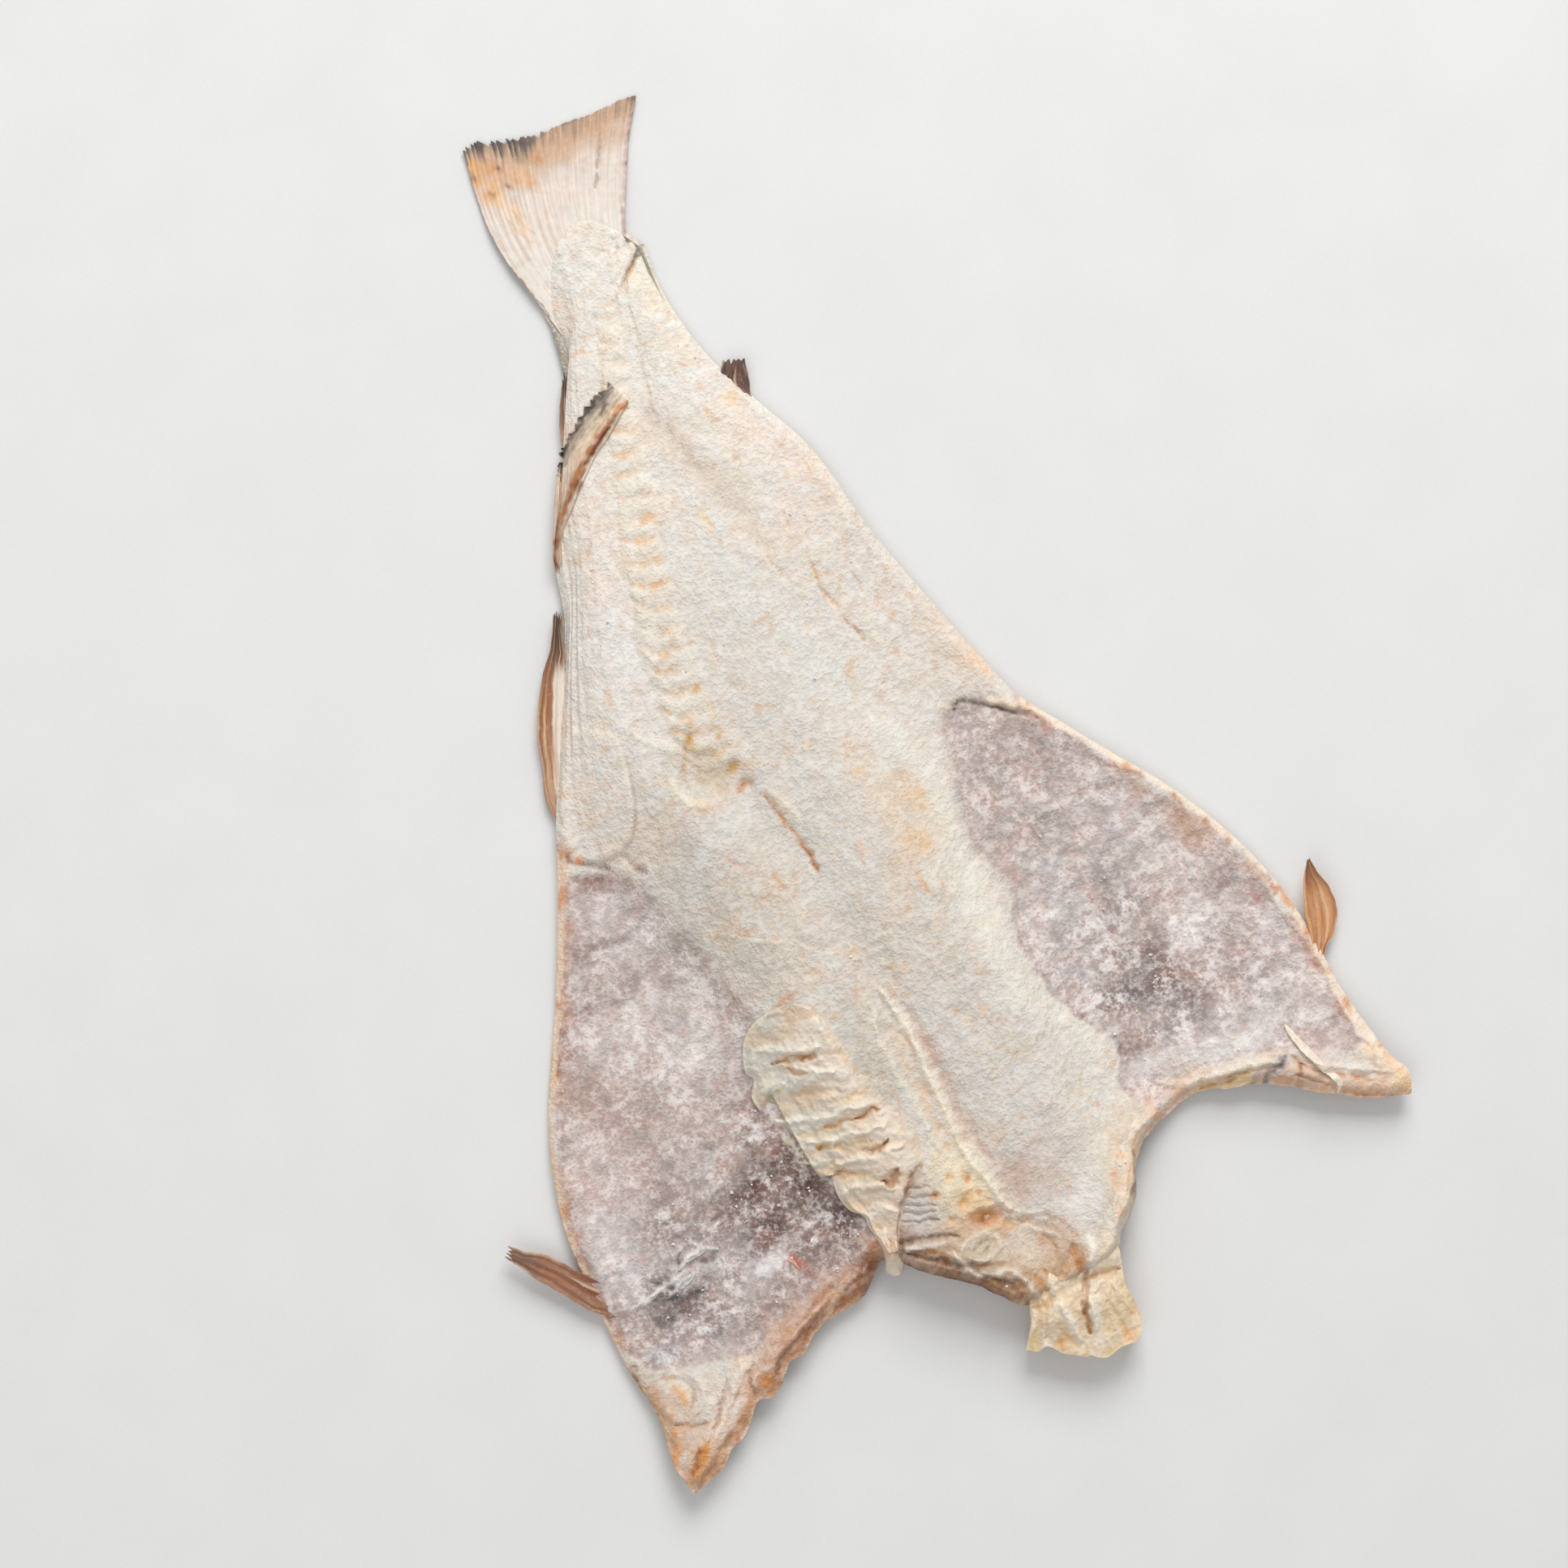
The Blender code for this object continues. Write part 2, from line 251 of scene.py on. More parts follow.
class Paint:
    """The colour and the salt grain of every vert of a piece."""

    def __init__(self, spots, shade, grain):
        self.spots = spots
        self.colour = np.tile(tone(shade), (len(spots), 1))
        self.grain = np.full(len(spots), float(grain))

    def wash(self, mask, shade, grain=None):
        """Lay a display colour, and a new grain where one is given, over a masked part."""
        mask = np.clip(mask, 0, 1)
        self.colour += (tone(shade) - self.colour) * mask[:, None]
        if grain is not None:
            self.grain += (grain - self.grain) * mask

    def speckle(self, size, seed, gain, shift, strength, shade, grain=None, where=1.0):
        """Wash a colour over the lumps of a rough noise, within the part given by where."""
        lumps = smooth(rough(self.spots, size, seed) * gain + shift)
        self.wash(where * lumps * strength, shade, grain)


# ---- The fish's plan: two blends of edge curves that meet at the spine ----

SPINE = Path([(15, 261), (12, 226), (4, 195), (-9, 144), (-22, 92), (-28, 39), (-21, -14),
              (-9, -62), (0, -110), (5, -174), (10, -225), (15, -275)])
LEFT_EDGE = Path([(-17, 226), (-15, 203), (-29, 177), (-44, 147), (-58, 121), (-66, 92),
                  (-88, 49), (-106, 12), (-116, -13), (-139, -62), (-163, -108), (-174, -141),
                  (-178, -170), (-177, -225), (-173, -252), (-175, -274), (-172, -290)])
RIGHT_EDGE = Path([(38, 236), (37, 212), (43, 181), (55, 153), (70, 119), (79, 76), (92, 32),
                   (105, -8), (111, -22), (124, -41), (138, -61), (159, -91), (178, -130),
                   (187, -168), (190, -203), (197, -236), (202, -247), (199, -257)])
LEFT_TONGUE = Path([(15, 261), (7, 259), (-1, 252), (-9, 240), (-17, 226)])
RIGHT_TONGUE = Path([(15, 261), (23, 257), (31, 247), (38, 236)])
LEFT_CUT = Path([(15, -275), (-1, -272), (-8, -265), (-15, -257), (-22, -251), (-30, -245),
                 (-37, -239), (-44, -232), (-51, -228), (-57, -232), (-64, -239), (-73, -241),
                 (-86, -243), (-94, -247), (-101, -252), (-108, -253), (-114, -259),
                 (-121, -264), (-128, -263), (-133, -268), (-140, -275), (-148, -278),
                 (-154, -284), (-162, -287), (-172, -290)])
RIGHT_CUT = Path([(15, -275), (44, -270), (53, -260), (61, -253), (67, -246), (70, -238),
                  (74, -231), (80, -226), (90, -222), (103, -218), (114, -217), (124, -221),
                  (136, -224), (146, -229), (155, -235), (167, -243), (180, -250),
                  (199, -257)])

CREST = [(0.0, 4.0), (0.07, 8.5), (0.15, 11.0), (0.3, 15.0), (0.45, 20.5), (0.6, 23.5),
         (0.75, 24.5), (0.9, 24.0), (1.0, 22.5)]
FLAP = [(0.0, 3.0), (0.1, 5.5), (0.4, 7.0), (0.6, 6.5), (0.85, 6.5), (1.0, 7.5)]
LOIN_LEFT = [(0.0, 0.95), (0.4, 0.95), (0.55, 0.66), (0.7, 0.46), (0.85, 0.44), (1.0, 0.46)]
LOIN_RIGHT = [(0.0, 0.95), (0.35, 0.92), (0.5, 0.72), (0.7, 0.44), (0.85, 0.46), (1.0, 0.52)]
ROLL = 3.2
EDGE_SHARE = 0.5


def plan(across, along):
    """Place shares of the width and length as a blend of four edge curves."""
    reach = np.abs(across)[:, None]
    along = along[:, None]
    halves = []
    for edge, tongue, cut in ((LEFT_EDGE, LEFT_TONGUE, LEFT_CUT),
                              (RIGHT_EDGE, RIGHT_TONGUE, RIGHT_CUT)):
        between = (1 - reach) * SPINE.at(along[:, 0]) + reach * edge.at(along[:, 0])
        ends = (1 - along) * tongue.at(reach[:, 0]) + along * cut.at(reach[:, 0])
        corners = ((1 - along) * ((1 - reach) * tongue.at(0) + reach * tongue.at(1))
                   + along * ((1 - reach) * cut.at(0) + reach * cut.at(1)))
        halves.append(between + ends - corners)
    return np.where(across[:, None] < 0, *halves)


def half_width(across, along):
    """Return the distance from the spine to the edge on this side."""
    left = np.linalg.norm(LEFT_EDGE.at(along) - SPINE.at(along), axis=1)
    right = np.linalg.norm(RIGHT_EDGE.at(along) - SPINE.at(along), axis=1)
    return np.where(across < 0, left, right)


def lift(across, along):
    """Return how far the dried rim has curled up off the table."""
    reach = np.abs(across)
    flaps = 7.5 * smooth((along - 0.86) / 0.14) * smooth((reach - 0.4) / 0.3)
    nape = 4.5 * smooth((along - 0.93) / 0.07) * smooth((0.62 - reach) / 0.25)
    wave = 0.5 + 0.5 * np.sin(along * 21.0 + 2.0 * np.sign(across))
    rim = 1.8 * smooth((reach - 0.8) / 0.2) * wave * smooth(along / 0.2)
    return np.maximum(flaps, nape) + rim


# ---- Meshes ----

def read_verts(piece):
    """Return the places of a piece's verts."""
    places = np.empty(len(piece.data.vertices) * 3)
    piece.data.vertices.foreach_get("co", places)
    return places.reshape(-1, 3)


def to_metres(spots, height):
    """Turn plan landmarks and heights into places in the frame."""
    return np.stack([(spots[:, 0] - MIDDLE[0]) * MM + (LOW.x + HIGH.x) / 2,
                     (spots[:, 1] - MIDDLE[1]) * MM + (LOW.y + HIGH.y) / 2,
                     height * TALL + LOW.z], axis=1)


def store(piece, name, values):
    """Keep a number or a colour for each vert."""
    if values.ndim == 2:
        layer = piece.data.attributes.new(name, "FLOAT_COLOR", "POINT")
        values = np.concatenate([values, np.ones((len(values), 1))], axis=1)
        layer.data.foreach_set("color", values.ravel().astype(np.float32))
    else:
        layer = piece.data.attributes.new(name, "FLOAT", "POINT")
        layer.data.foreach_set("value", values.astype(np.float32))


def finish_piece(piece, look, angle=60):
    """Shade a finished piece, give it its material and tie it to the solid."""
    bpy.ops.object.select_all(action="DESELECT")
    piece.select_set(True)
    bpy.context.view_layer.objects.active = piece
    bpy.ops.object.shade_smooth_by_angle(angle=math.radians(angle))
    piece.data.materials.clear()
    piece.data.materials.append(material(look))
    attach(piece, "root")
    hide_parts(NODE)


class Slab:
    """A closed piece made from one grid.

    The middle of the grid is the face; its outer rings fold back into walls and then run in
    across the other face.  u and v are shares of the width and length, down is 0 on the face
    and 1 on the other face, and inward is how far across the other face a ring lies.
    """

    WELD = 2e-6  # metres

    def __init__(self, name, columns, rows, wall=2, under=5):
        folded = wall + under
        all_columns, all_rows = columns + 2 * folded, rows + 2 * folded
        bpy.ops.object.select_all(action="DESELECT")
        bpy.ops.mesh.primitive_grid_add(x_subdivisions=all_columns, y_subdivisions=all_rows,
                                        size=2)
        self.piece = bpy.context.object
        self.piece.name = name
        corners = read_verts(self.piece)
        self.u, self.u_side, u_ring = self.split((corners[:, 0] + 1) / 2, all_columns, folded)
        self.v, self.v_side, v_ring = self.split((1 - corners[:, 1]) / 2, all_rows, folded)
        ring = np.maximum(u_ring, v_ring)
        self.down = np.clip(ring / wall, 0, 1)
        self.inward = np.clip((ring - wall) / under, 0, 1)

    @staticmethod
    def split(share, count, folded):
        """Return the share of the face, the side of the border and the ring beyond it."""
        line = np.round(share * count)
        last = count - folded
        place = np.clip((line - folded) / (last - folded), 0, 1)
        side = np.where(line <= folded, -1.0, np.where(line >= last, 1.0, 0.0))
        return place, side, np.maximum(0, np.maximum(folded - line, line - last))

    def shares(self, width, length, bulge, undercut):
        """Return u and v with the walls bowed out and the other face drawn in."""
        out = bulge * np.sin(math.pi * self.down) - undercut * self.down
        keep = 1 - 0.93 * self.inward
        u = 0.5 + (self.u - 0.5) * keep + self.u_side * out / width
        v = 0.5 + (self.v - 0.5) * keep + self.v_side * out / length
        return u, v

    def close(self, spots, height, u, v, paint, look):
        """Place the verts, close the mesh and finish the piece."""
        piece = self.piece
        piece.data.vertices.foreach_set("co", to_metres(spots, height).ravel())
        corner = np.empty(len(piece.data.loops), int)
        piece.data.loops.foreach_get("vertex_index", corner)
        piece.data.uv_layers[0].data.foreach_set(
            "uv", stretch(u[corner], v[corner]).ravel())
        store(piece, "colour", paint.colour)
        store(piece, "grain", paint.grain)
        piece.data.update()
        bpy.ops.object.mode_set(mode="EDIT")
        bpy.ops.mesh.select_all(action="SELECT")
        bpy.ops.mesh.remove_doubles(threshold=self.WELD)
        bpy.ops.mesh.select_mode(type="EDGE")
        bpy.ops.mesh.select_all(action="DESELECT")
        bpy.ops.mesh.select_non_manifold(extend=False, use_wire=False, use_multi_face=False,
                                         use_non_contiguous=False, use_verts=False)
        bpy.ops.mesh.edge_face_add()
        bpy.ops.mesh.select_all(action="SELECT")
        bpy.ops.mesh.normals_make_consistent(inside=False)
        bpy.ops.object.mode_set(mode="OBJECT")
        finish_piece(piece, look)


class Strip(Slab):
    """A slab between two curves that run the same way, with an optional curve at its end."""

    LOWEST = 0.05

    def __init__(self, name, left, right, columns, rows, end=None, bulge=0.4, undercut=0.0,
                 wall=2, under=4):
        super().__init__(name, columns, rows, wall, under)
        self.left, self.right = Path(left), Path(right)
        self.end = Path(end) if end else None
        width = np.linalg.norm(self.left.at(self.v) - self.right.at(self.v), axis=1)
        length = (self.left.length + self.right.length) / 2
        self.u, self.v = self.shares(np.maximum(width, 2.0), length, bulge, undercut)
        self.spots = self.place(self.u, self.v)

    def place(self, u, v):
        """Return the plan places at these shares."""
        u, v = u[:, None], v[:, None]
        spots = (1 - u) * self.left.at(v[:, 0]) + u * self.right.at(v[:, 0])
        if self.end:
            goal = (1 - u) * self.left.at(1.0) + u * self.right.at(1.0)
            spots = spots + (self.end.at(u[:, 0]) - goal) * np.clip(v, 0, 1) ** 4
        return spots

    def build(self, top, thick, paint, look):
        """Close the strip between its top and a base this far below it."""
        height = top - thick * self.down
        self.close(self.spots, np.maximum(height, self.LOWEST), self.u, self.v, paint, look)


class Ground:
    """Finished pieces on which others lie."""

    def __init__(self, *names):
        verts, faces = [], []
        for name in names:
            mesh = bpy.data.objects[name].data
            start = len(verts)
            verts += [vert.co for vert in mesh.vertices]
            faces += [[start + corner for corner in face.vertices] for face in mesh.polygons]
        self.tree = BVHTree.FromPolygons(verts, faces)

    def height(self, spots, missing=2.0):
        """Return their height over the table; off the fish it is the stated one."""
        places = to_metres(spots, np.full(len(spots), 200.0))
        down = Vector((0, 0, -1))
        found = (self.tree.ray_cast(Vector(place), down)[0] for place in places)
        return np.array([(hit.z - LOW.z) / TALL if hit else missing for hit in found])


# ---- The flesh side: its relief and its colours ----

LEFT_LINING = Patch([(-112, -14), (-97, -17), (-86, -25), (-75, -50), (-66, -84), (-60, -104),
                     (-58, -140), (-52, -185), (-46, -210), (-50, -224), (-64, -229),
                     (-84, -233), (-108, -240), (-126, -243), (-140, -240), (-156, -236),
                     (-172, -226), (-176, -190), (-175, -168), (-170, -141), (-159, -108),
                     (-136, -62), (-121, -30)])
RIGHT_LINING = Patch([(74, -18), (86, -13), (98, -19), (110, -30), (119, -38), (133, -62),
                      (146, -83), (160, -103), (172, -128), (181, -168), (186, -196),
                      (192, -222), (184, -228), (168, -222), (152, -214), (128, -211),
                      (112, -210), (100, -213), (90, -216), (80, -203), (86, -182), (74, -164),
                      (66, -140), (66, -117), (71, -97), (64, -74), (66, -50), (71, -34)])
LEFT_LOBE = Patch([(-86, 46), (-74, 44), (-65, 36), (-67, 16), (-74, -3), (-86, -12),
                   (-104, -8), (-110, 6), (-100, 28)])
BACKBONE = (0.055, 0.505)
BACKBONE_WIDTH = (4.5, 14.0)
VERTEBRAE = 24
PALE_BAND = [(44, -4), (52, -18), (57, -37), (56, -62), (55, -95), (54, -120), (58, -146),
             (72, -166), (76, -186)]
RIGHT_RIM = Path([(113, -24), (138, -61), (159, -91), (178, -130), (187, -168), (190, -203),
                  (197, -236), (200, -250)])
LEFT_RIM = Path([(-110, -2), (-139, -62), (-163, -108), (-174, -141), (-178, -170),
                 (-177, -225), (-173, -252), (-175, -284)])
RIM_RIGHT = [(0.0, 4.5), (0.12, 2.6), (0.5, 2.8), (0.75, 4.0), (1.0, 9.0)]
RIM_LEFT = [(0.0, 3.0), (0.3, 3.6), (0.6, 2.6), (0.8, 2.4), (1.0, 3.0)]

# Colours of broad areas: x, y, half width, half length, display colour, strength and perhaps
# a turn
FLESH_AREAS = [
    (12, 240, 26, 22, 0xE6E0D6, 0.9),
    (14, 208, 12, 26, 0xECE6DC, 0.8),
    (-8, 205, 8, 22, 0xEAE2D6, 0.7),
    (34, 205, 10, 34, 0xEEE2CC, 0.8, 6),
    (60, 120, 12, 50, 0xEEDED0, 0.8, 27),
    (-42, 75, 22, 55, 0xF1ECE7, 0.8, -18),
    (20, 60, 28, 60, 0xE7E4DC, 0.7, 15),
    (46, 92, 20, 16, 0xE6D6CA, 0.6, 30),
    (72, 52, 16, 22, 0xEEE1D4, 0.7, 20),
    (95, 12, 14, 28, 0xF0DECB, 0.7, 20),
    (-84, 18, 24, 30, 0xFAEEE3, 0.8),
    (-10, 15, 34, 26, 0xE2DBD0, 0.8),
    (4, -30, 26, 34, 0xE0DBD2, 0.7),
    (43, -48, 14, 36, 0xE5CEB0, 0.8, 12),
    (30, -95, 26, 24, 0xDED1C0, 0.7),
    (-40, -55, 34, 50, 0xDACEBE, 0.8, 20),
    (-58, -20, 16, 26, 0xD6CCC2, 0.8, 10),
    (-20, -105, 26, 26, 0xD6C9BA, 0.8),
    (-18, -150, 12, 40, 0xCEC1B0, 0.8),
    (36, -150, 26, 44, 0xDBD2CA, 0.8),
    (62, -186, 20, 30, 0xE4DCD0, 0.7),
    (34, -214, 20, 26, 0xDCCEC4, 0.8),
    (64, -232, 12, 26, 0xEEDCC2, 0.8, -30),
    (44, -246, 12, 16, 0xECE6DE, 0.8),
    (-30, -199, 9, 7, 0xC8AA8E, 0.8),
    (-4, -222, 10, 9, 0xE0BA8C, 0.9),
    (21, -219, 9, 8, 0xCCB2A2, 0.8),
    (-26, -216, 9, 10, 0xCEC2B6, 0.9),
    (-16, -230, 12, 6, 0xCAAC8C, 0.9, -36),
    (-40, -224, 6, 7, 0x946646, 0.9),
    (-10, -242, 12, 8, 0xBEA88C, 0.9, -38),
    (3, -238, 9, 6, 0xCCA680, 0.8),
    (-26, -242, 18, 6, 0x966842, 0.95, -40),
    (-8, -258, 16, 5, 0x845834, 0.95, -45),
    (1, -264, 6, 11, 0xA87A4E, 0.9, -20),
    (22, -264, 16, 9, 0xD6B48E, 0.9),
    (20, -250, 12, 7, 0xD6BCA4, 0.9),
]
# The same for the linings, with the salt's contrast after the strength
LINING_AREAS = [
    (-104, -32, 15, 12, 0xDACBC5, 0.8, 0.35),
    (-98, -19, 14, 6, 0x9C7466, 0.9, 0.35),
    (-78, -28, 8, 10, 0xB2988C, 0.8, 0.5),
    (-114, -48, 8, 10, 0xB8A29A, 0.7, 0.4, 20),
    (-94, -48, 14, 12, 0xDED2CC, 0.8, 0.35),
    (-76, -66, 9, 16, 0xCEBFB4, 0.8, 0.6, 12),
    (-64, -74, 6, 20, 0xBEAEA4, 0.7, 0.6, 12),
    (-92, -66, 20, 4, 0xBEA8A0, 0.6, 0.4, 10),
    (-124, -70, 9, 10, 0xBCAAA4, 0.7, 0.4),
    (-104, -82, 28, 10, 0xDDD0C8, 0.8, 0.35, 6),
    (-148, -104, 10, 16, 0xBEA08F, 0.8, 0.3, 24),
    (-136, -114, 10, 14, 0xBCA093, 0.8, 0.4),
    (-112, -95, 20, 9, 0xDED2CC, 0.7, 0.35),
    (-86, -106, 18, 14, 0xDED4CB, 0.8, 0.35),
    (-124, -128, 14, 9, 0xB89E92, 0.8, 0.4),
    (-104, -133, 18, 6, 0xC8B4A8, 0.6, 0.4),
    (-152, -142, 14, 12, 0xDCCCC2, 0.8, 0.35),
    (-122, -148, 14, 8, 0xC0ADA6, 0.7, 0.45),
    (-166, -150, 9, 18, 0xCEB8B0, 0.7, 0.35),
    (-160, -174, 14, 16, 0xE2D5D0, 0.9, 0.35),
    (-146, -160, 10, 9, 0xDCCCC6, 0.8, 0.35),
    (-129, -163, 11, 11, 0xAC968F, 0.9, 0.5),
    (-108, -158, 12, 6, 0xCEC0BA, 0.6, 0.5),
    (-80, -150, 10, 14, 0xA48A7E, 0.9, 0.6),
    (-73, -168, 9, 11, 0x886A5E, 1, 0.6),
    (-92, -176, 18, 9, 0x6C4842, 1, 0.65, 24),
    (-68, -184, 10, 12, 0x6E4E44, 1, 0.7, 10),
    (-90, -194, 20, 12, 0x60423C, 1, 0.75, 24),
    (-112, -182, 14, 8, 0x967C76, 0.9, 0.65, 20),
    (-61, -204, 12, 12, 0x705650, 1, 0.8),
    (-136, -178, 10, 9, 0x9E8881, 0.9, 0.6),
    (-160, -190, 14, 8, 0xE2D7D4, 0.9, 0.4, 10),
    (-124, -188, 12, 7, 0xBEAFAC, 0.7, 0.6),
    (-148, -200, 10, 7, 0x8E7E78, 0.9, 0.65),
    (-142, -211, 18, 8, 0x64524E, 1, 0.7, 14),
    (-172, -206, 6, 12, 0xB09A92, 0.8, 0.5),
    (-112, -199, 9, 6, 0xC8BCBA, 0.8, 0.6),
    (-98, -211, 12, 4, 0xF0ECEA, 0.9, 0.45, 20),
    (-80, -212, 14, 10, 0x987C72, 0.9, 0.65, 10),
    (-74, -224, 12, 6, 0xAA8A7C, 0.9, 0.6, 10),
    (-104, -226, 20, 8, 0xAE968E, 0.8, 0.6, 14),
    (-134, -226, 14, 7, 0xA0908E, 0.9, 0.7, 10),
    (-160, -228, 14, 8, 0xB4AAA8, 0.9, 0.5, 10),
    (84, -17, 10, 3, 0x8A6C64, 0.8, 0.5, -10),
    (90, -24, 12, 6, 0xCABAB0, 0.8, 0.4),
    (88, -36, 12, 7, 0xB8A59C, 0.8, 0.45),
    (104, -30, 10, 7, 0xB8A296, 0.7, 0.4, -30),
    (99, -46, 10, 7, 0xCEC1B8, 0.8, 0.4),
    (84, -50, 9, 8, 0xB6A7A0, 0.8, 0.5),
    (112, -56, 10, 9, 0xBAA8A0, 0.8, 0.4),
    (86, -68, 10, 6, 0xC6BAB1, 0.8, 0.5),
    (96, -79, 9, 6, 0xAE9E97, 0.8, 0.6),
    (118, -80, 14, 7, 0xCEC1BC, 0.7, 0.35),
    (130, -72, 8, 12, 0xDCCEC4, 0.8, 0.3, 24),
    (92, -100, 18, 11, 0xDAD0C9, 0.9, 0.5),
    (88, -116, 14, 9, 0xE0D7D2, 0.9, 0.45),
    (116, -108, 10, 10, 0xB4A39C, 0.8, 0.6),
    (132, -94, 14, 9, 0xE2D6D0, 0.9, 0.3, 24),
    (138, -114, 12, 12, 0xDED1C9, 0.9, 0.35),
    (156, -108, 7, 14, 0xCCA890, 0.9, 0.25, 30),
    (112, -127, 12, 7, 0xAEA09C, 0.8, 0.8),
    (94, -129, 10, 5, 0xB8ABA6, 0.7, 0.8),
    (84, -142, 10, 10, 0xD4CBC7, 0.8, 0.6),
    (142, -140, 14, 8, 0xE6D9D2, 0.9, 0.4, 10),
    (119, -152, 9, 8, 0x8E726A, 1, 0.7),
    (138, -154, 13, 7, 0xE8DEDA, 0.9, 0.45),
    (102, -148, 12, 8, 0xBCB0AB, 0.8, 0.9),
    (98, -164, 12, 7, 0x8E8280, 1, 0.9),
    (118, -166, 12, 9, 0x86726E, 1, 0.85),
    (96, -177, 10, 5, 0xC8BCBA, 0.8, 0.8),
    (127, -178, 10, 8, 0x94807C, 0.9, 0.8),
    (150, -175, 16, 8, 0xB4A5A1, 0.8, 0.5, 10),
    (172, -162, 12, 14, 0xD8C9C4, 0.8, 0.35, 10),
    (93, -190, 9, 7, 0x847674, 1, 0.85),
    (110, -186, 12, 6, 0xB6AAA7, 0.8, 0.8),
    (134, -190, 12, 6, 0xCCBEB9, 0.8, 0.55),
    (178, -190, 9, 12, 0xDECEC7, 0.8, 0.4),
    (156, -190, 9, 6, 0xC4BCB9, 0.7, 0.5),
    (95, -202, 8, 5, 0xDED4CF, 0.8, 0.7),
    (124, -201, 20, 5, 0xE2D8D3, 0.9, 0.45),
    (140, -207, 16, 5, 0xEAE3DE, 0.9, 0.4, 6),
    (154, -202, 8, 7, 0xB09E97, 0.9, 0.5),
    (170, -208, 10, 7, 0xD2C4BC, 0.8, 0.4),
    (182, -218, 10, 8, 0xCCB8AE, 0.8, 0.35, 20),
    (100, -210, 10, 6, 0xD0BCB0, 0.8, 0.6, 10),
]
# Marks, as draw takes them
FLESH_MARKS = [
    ([(27, 246), (33, 249), (37, 246), (38, 240)], 2.2, 1.2, 0xEEE8DE),
    # Painted shadow along the underside of the curled flap by the tail
    ([(38, 238), (21, 223)], 1, -1.5, 0xA88864),
    ([(24, 240), (18, 226)], 1.6, 0.7, 0xECE4D4, 0.7),
    ((32, 241), (2, 1.6, 30), -0.5, 0xB8B2AA, 0.8),
    ((27, 240), (0.9, 0.9), -0.4, 0x6E6056),
    ([(9, 218), (16, 219), (31, 230)], 0.9, -0.5, 0xCEA478, 0.7),
    ([(20, 212), (10, 164)], 1.1, -0.7, 0xD6C8B8, 0.6),
    ([(8, 165), (35, 86)], 7, -1, 0xD6C6B4, 0.8),
    ([(11, 117), (13, 109), (13, 100)], 1.6, -0.4, 0xF0CC8C, 0.7),
    ([(47, 100), (46, 91)], 0.7, -0.8, 0xDAB086, 0.7),
    ([(50, 81), (48, 74), (48, 60), (51, 48)], 0.8, -1, 0xD6A674, 0.7),
    ([(52, 43), (57, 30)], 0.8, -1, 0xCE9660, 0.8),
    ([(31, 83), (36, 70), (39, 55)], 0.6, -0.7, 0xDCB692, 0.5),
    ([(63, 62), (64, 50)], 0.6, -0.6, 0xD6B08C, 0.6),
    ((46, 155), (4, 5, 30), 0, 0xF0CEA6, 0.8),
    ((100, 2), (7, 10, 30), 0, 0xECC49C, 0.7),
    ([(-57, 33), (-40, 18)], 2.2, 0.9, 0xF0EADA, 0.8),
    ([(-50, 9), (-49, -1), (-45, -6), (-37, -10)], 2, 0.9, 0xF2E6D2),
    ((-34, 5), (9, 12, 10), -2.2, 0xCEBAA0),
    ([(-38, 20), (-44, 7), (-44, 0)], 1.2, -1, 0xCCA882, 0.6),
    ([(-37, 19), (-27, 13), (-25, 7)], 1.6, 0.6, 0xD6B688, 0.7),
    ((-35, 22), (3.4, 2, 30), -0.8, 0xC49250),
    ((-31, 27), (2, 5), 0, 0xDEB270, 0.7),
    ((-22, 18), (3, 1.2, 30), -0.4, 0xD29A4E),
    ((-22, 3), (4, 2.2, 30), -0.9, 0xC6944E),
    ((-29, -4), (3.2, 3.2), -0.9, 0xCEA670, 0.8),
    ((-29, -4), (1.5, 1.5), 1, 0xE2D6C8),
    ([(-25, -10), (-20, -7), (-16, -9)], 2, -1.2, 0xCE843E),
    ((-41, -9), (3, 1.4), -0.3, 0xDEB280, 0.8),
    ([(-17, -12), (-13, -20), (-9, -36), (-6, -46), (-5, -58)], 0.9, -0.9, 0xCE8E52, 1),
    ([(-8, -42), (-6, -48), (-5, -56)], 1, -0.8, 0xB4703A),
    ([(-13, -12), (-8, -20), (-4, -32)], 2.2, 0.7, 0xF0E6CE, 0.7),
    ([(-25, -48), (-24, -57)], 1.2, -0.6, 0xCE9660, 0.8),
    ((-33, -57), (2.6, 2), -0.6, 0xD48A5C),
    ([(-42, -30), (-35, -46)], 0.8, -0.3, 0xE2B498, 0.7),
    ([(36, -72), (35, -78), (37, -86)], 1.3, -0.3, 0xE09A68, 0.8),
    ((29, -22), (4, 2), 0, 0xE4BA82, 0.7),
    ((14, -1), (3, 2), 0, 0xE0BA9C, 0.7),
    ((41, -63), (8, 7, 20), -0.4, 0xE2B682, 0.7),
    ((49, -44), (5, 6, 16), 0, 0xE4B882, 0.7),
    ((-43, -103), (7, 1.8, 10), 0, 0xD6A07C, 0.8),
    ([(-103, -9), (-90, -18)], 1, -0.8, 0x7E5E52, 0.8),
    ([(-84, -14), (-77, -26)], 1.6, -0.8, 0x8C645C, 0.8),
    ((-86, -21), (3.2, 2.2, 20), 0.8, 0xE6DACA),
    ((-103, -8), (2, 1.6, 20), 0.3, 0xE2924E, 1),
    ((-111, -7), (1.8, 1.6, 20), 0.3, 0xE69C54, 1),
    ([(79, -14), (86, -13), (114, -33)], 1.2, -1.1, 0x604640),
    ([(96, -16), (113, -29)], 1.5, 0.9, 0xEED6B4),
    ((155, -99), (3, 7, 34), -0.3, 0xBA8260, 0.7),
    ((143, -81), (2.4, 6, 40), -0.3, 0xBE8A6A, 0.7),
    ((171, -146), (2.4, 6, 14), -0.3, 0xAA6E58, 0.7),
]


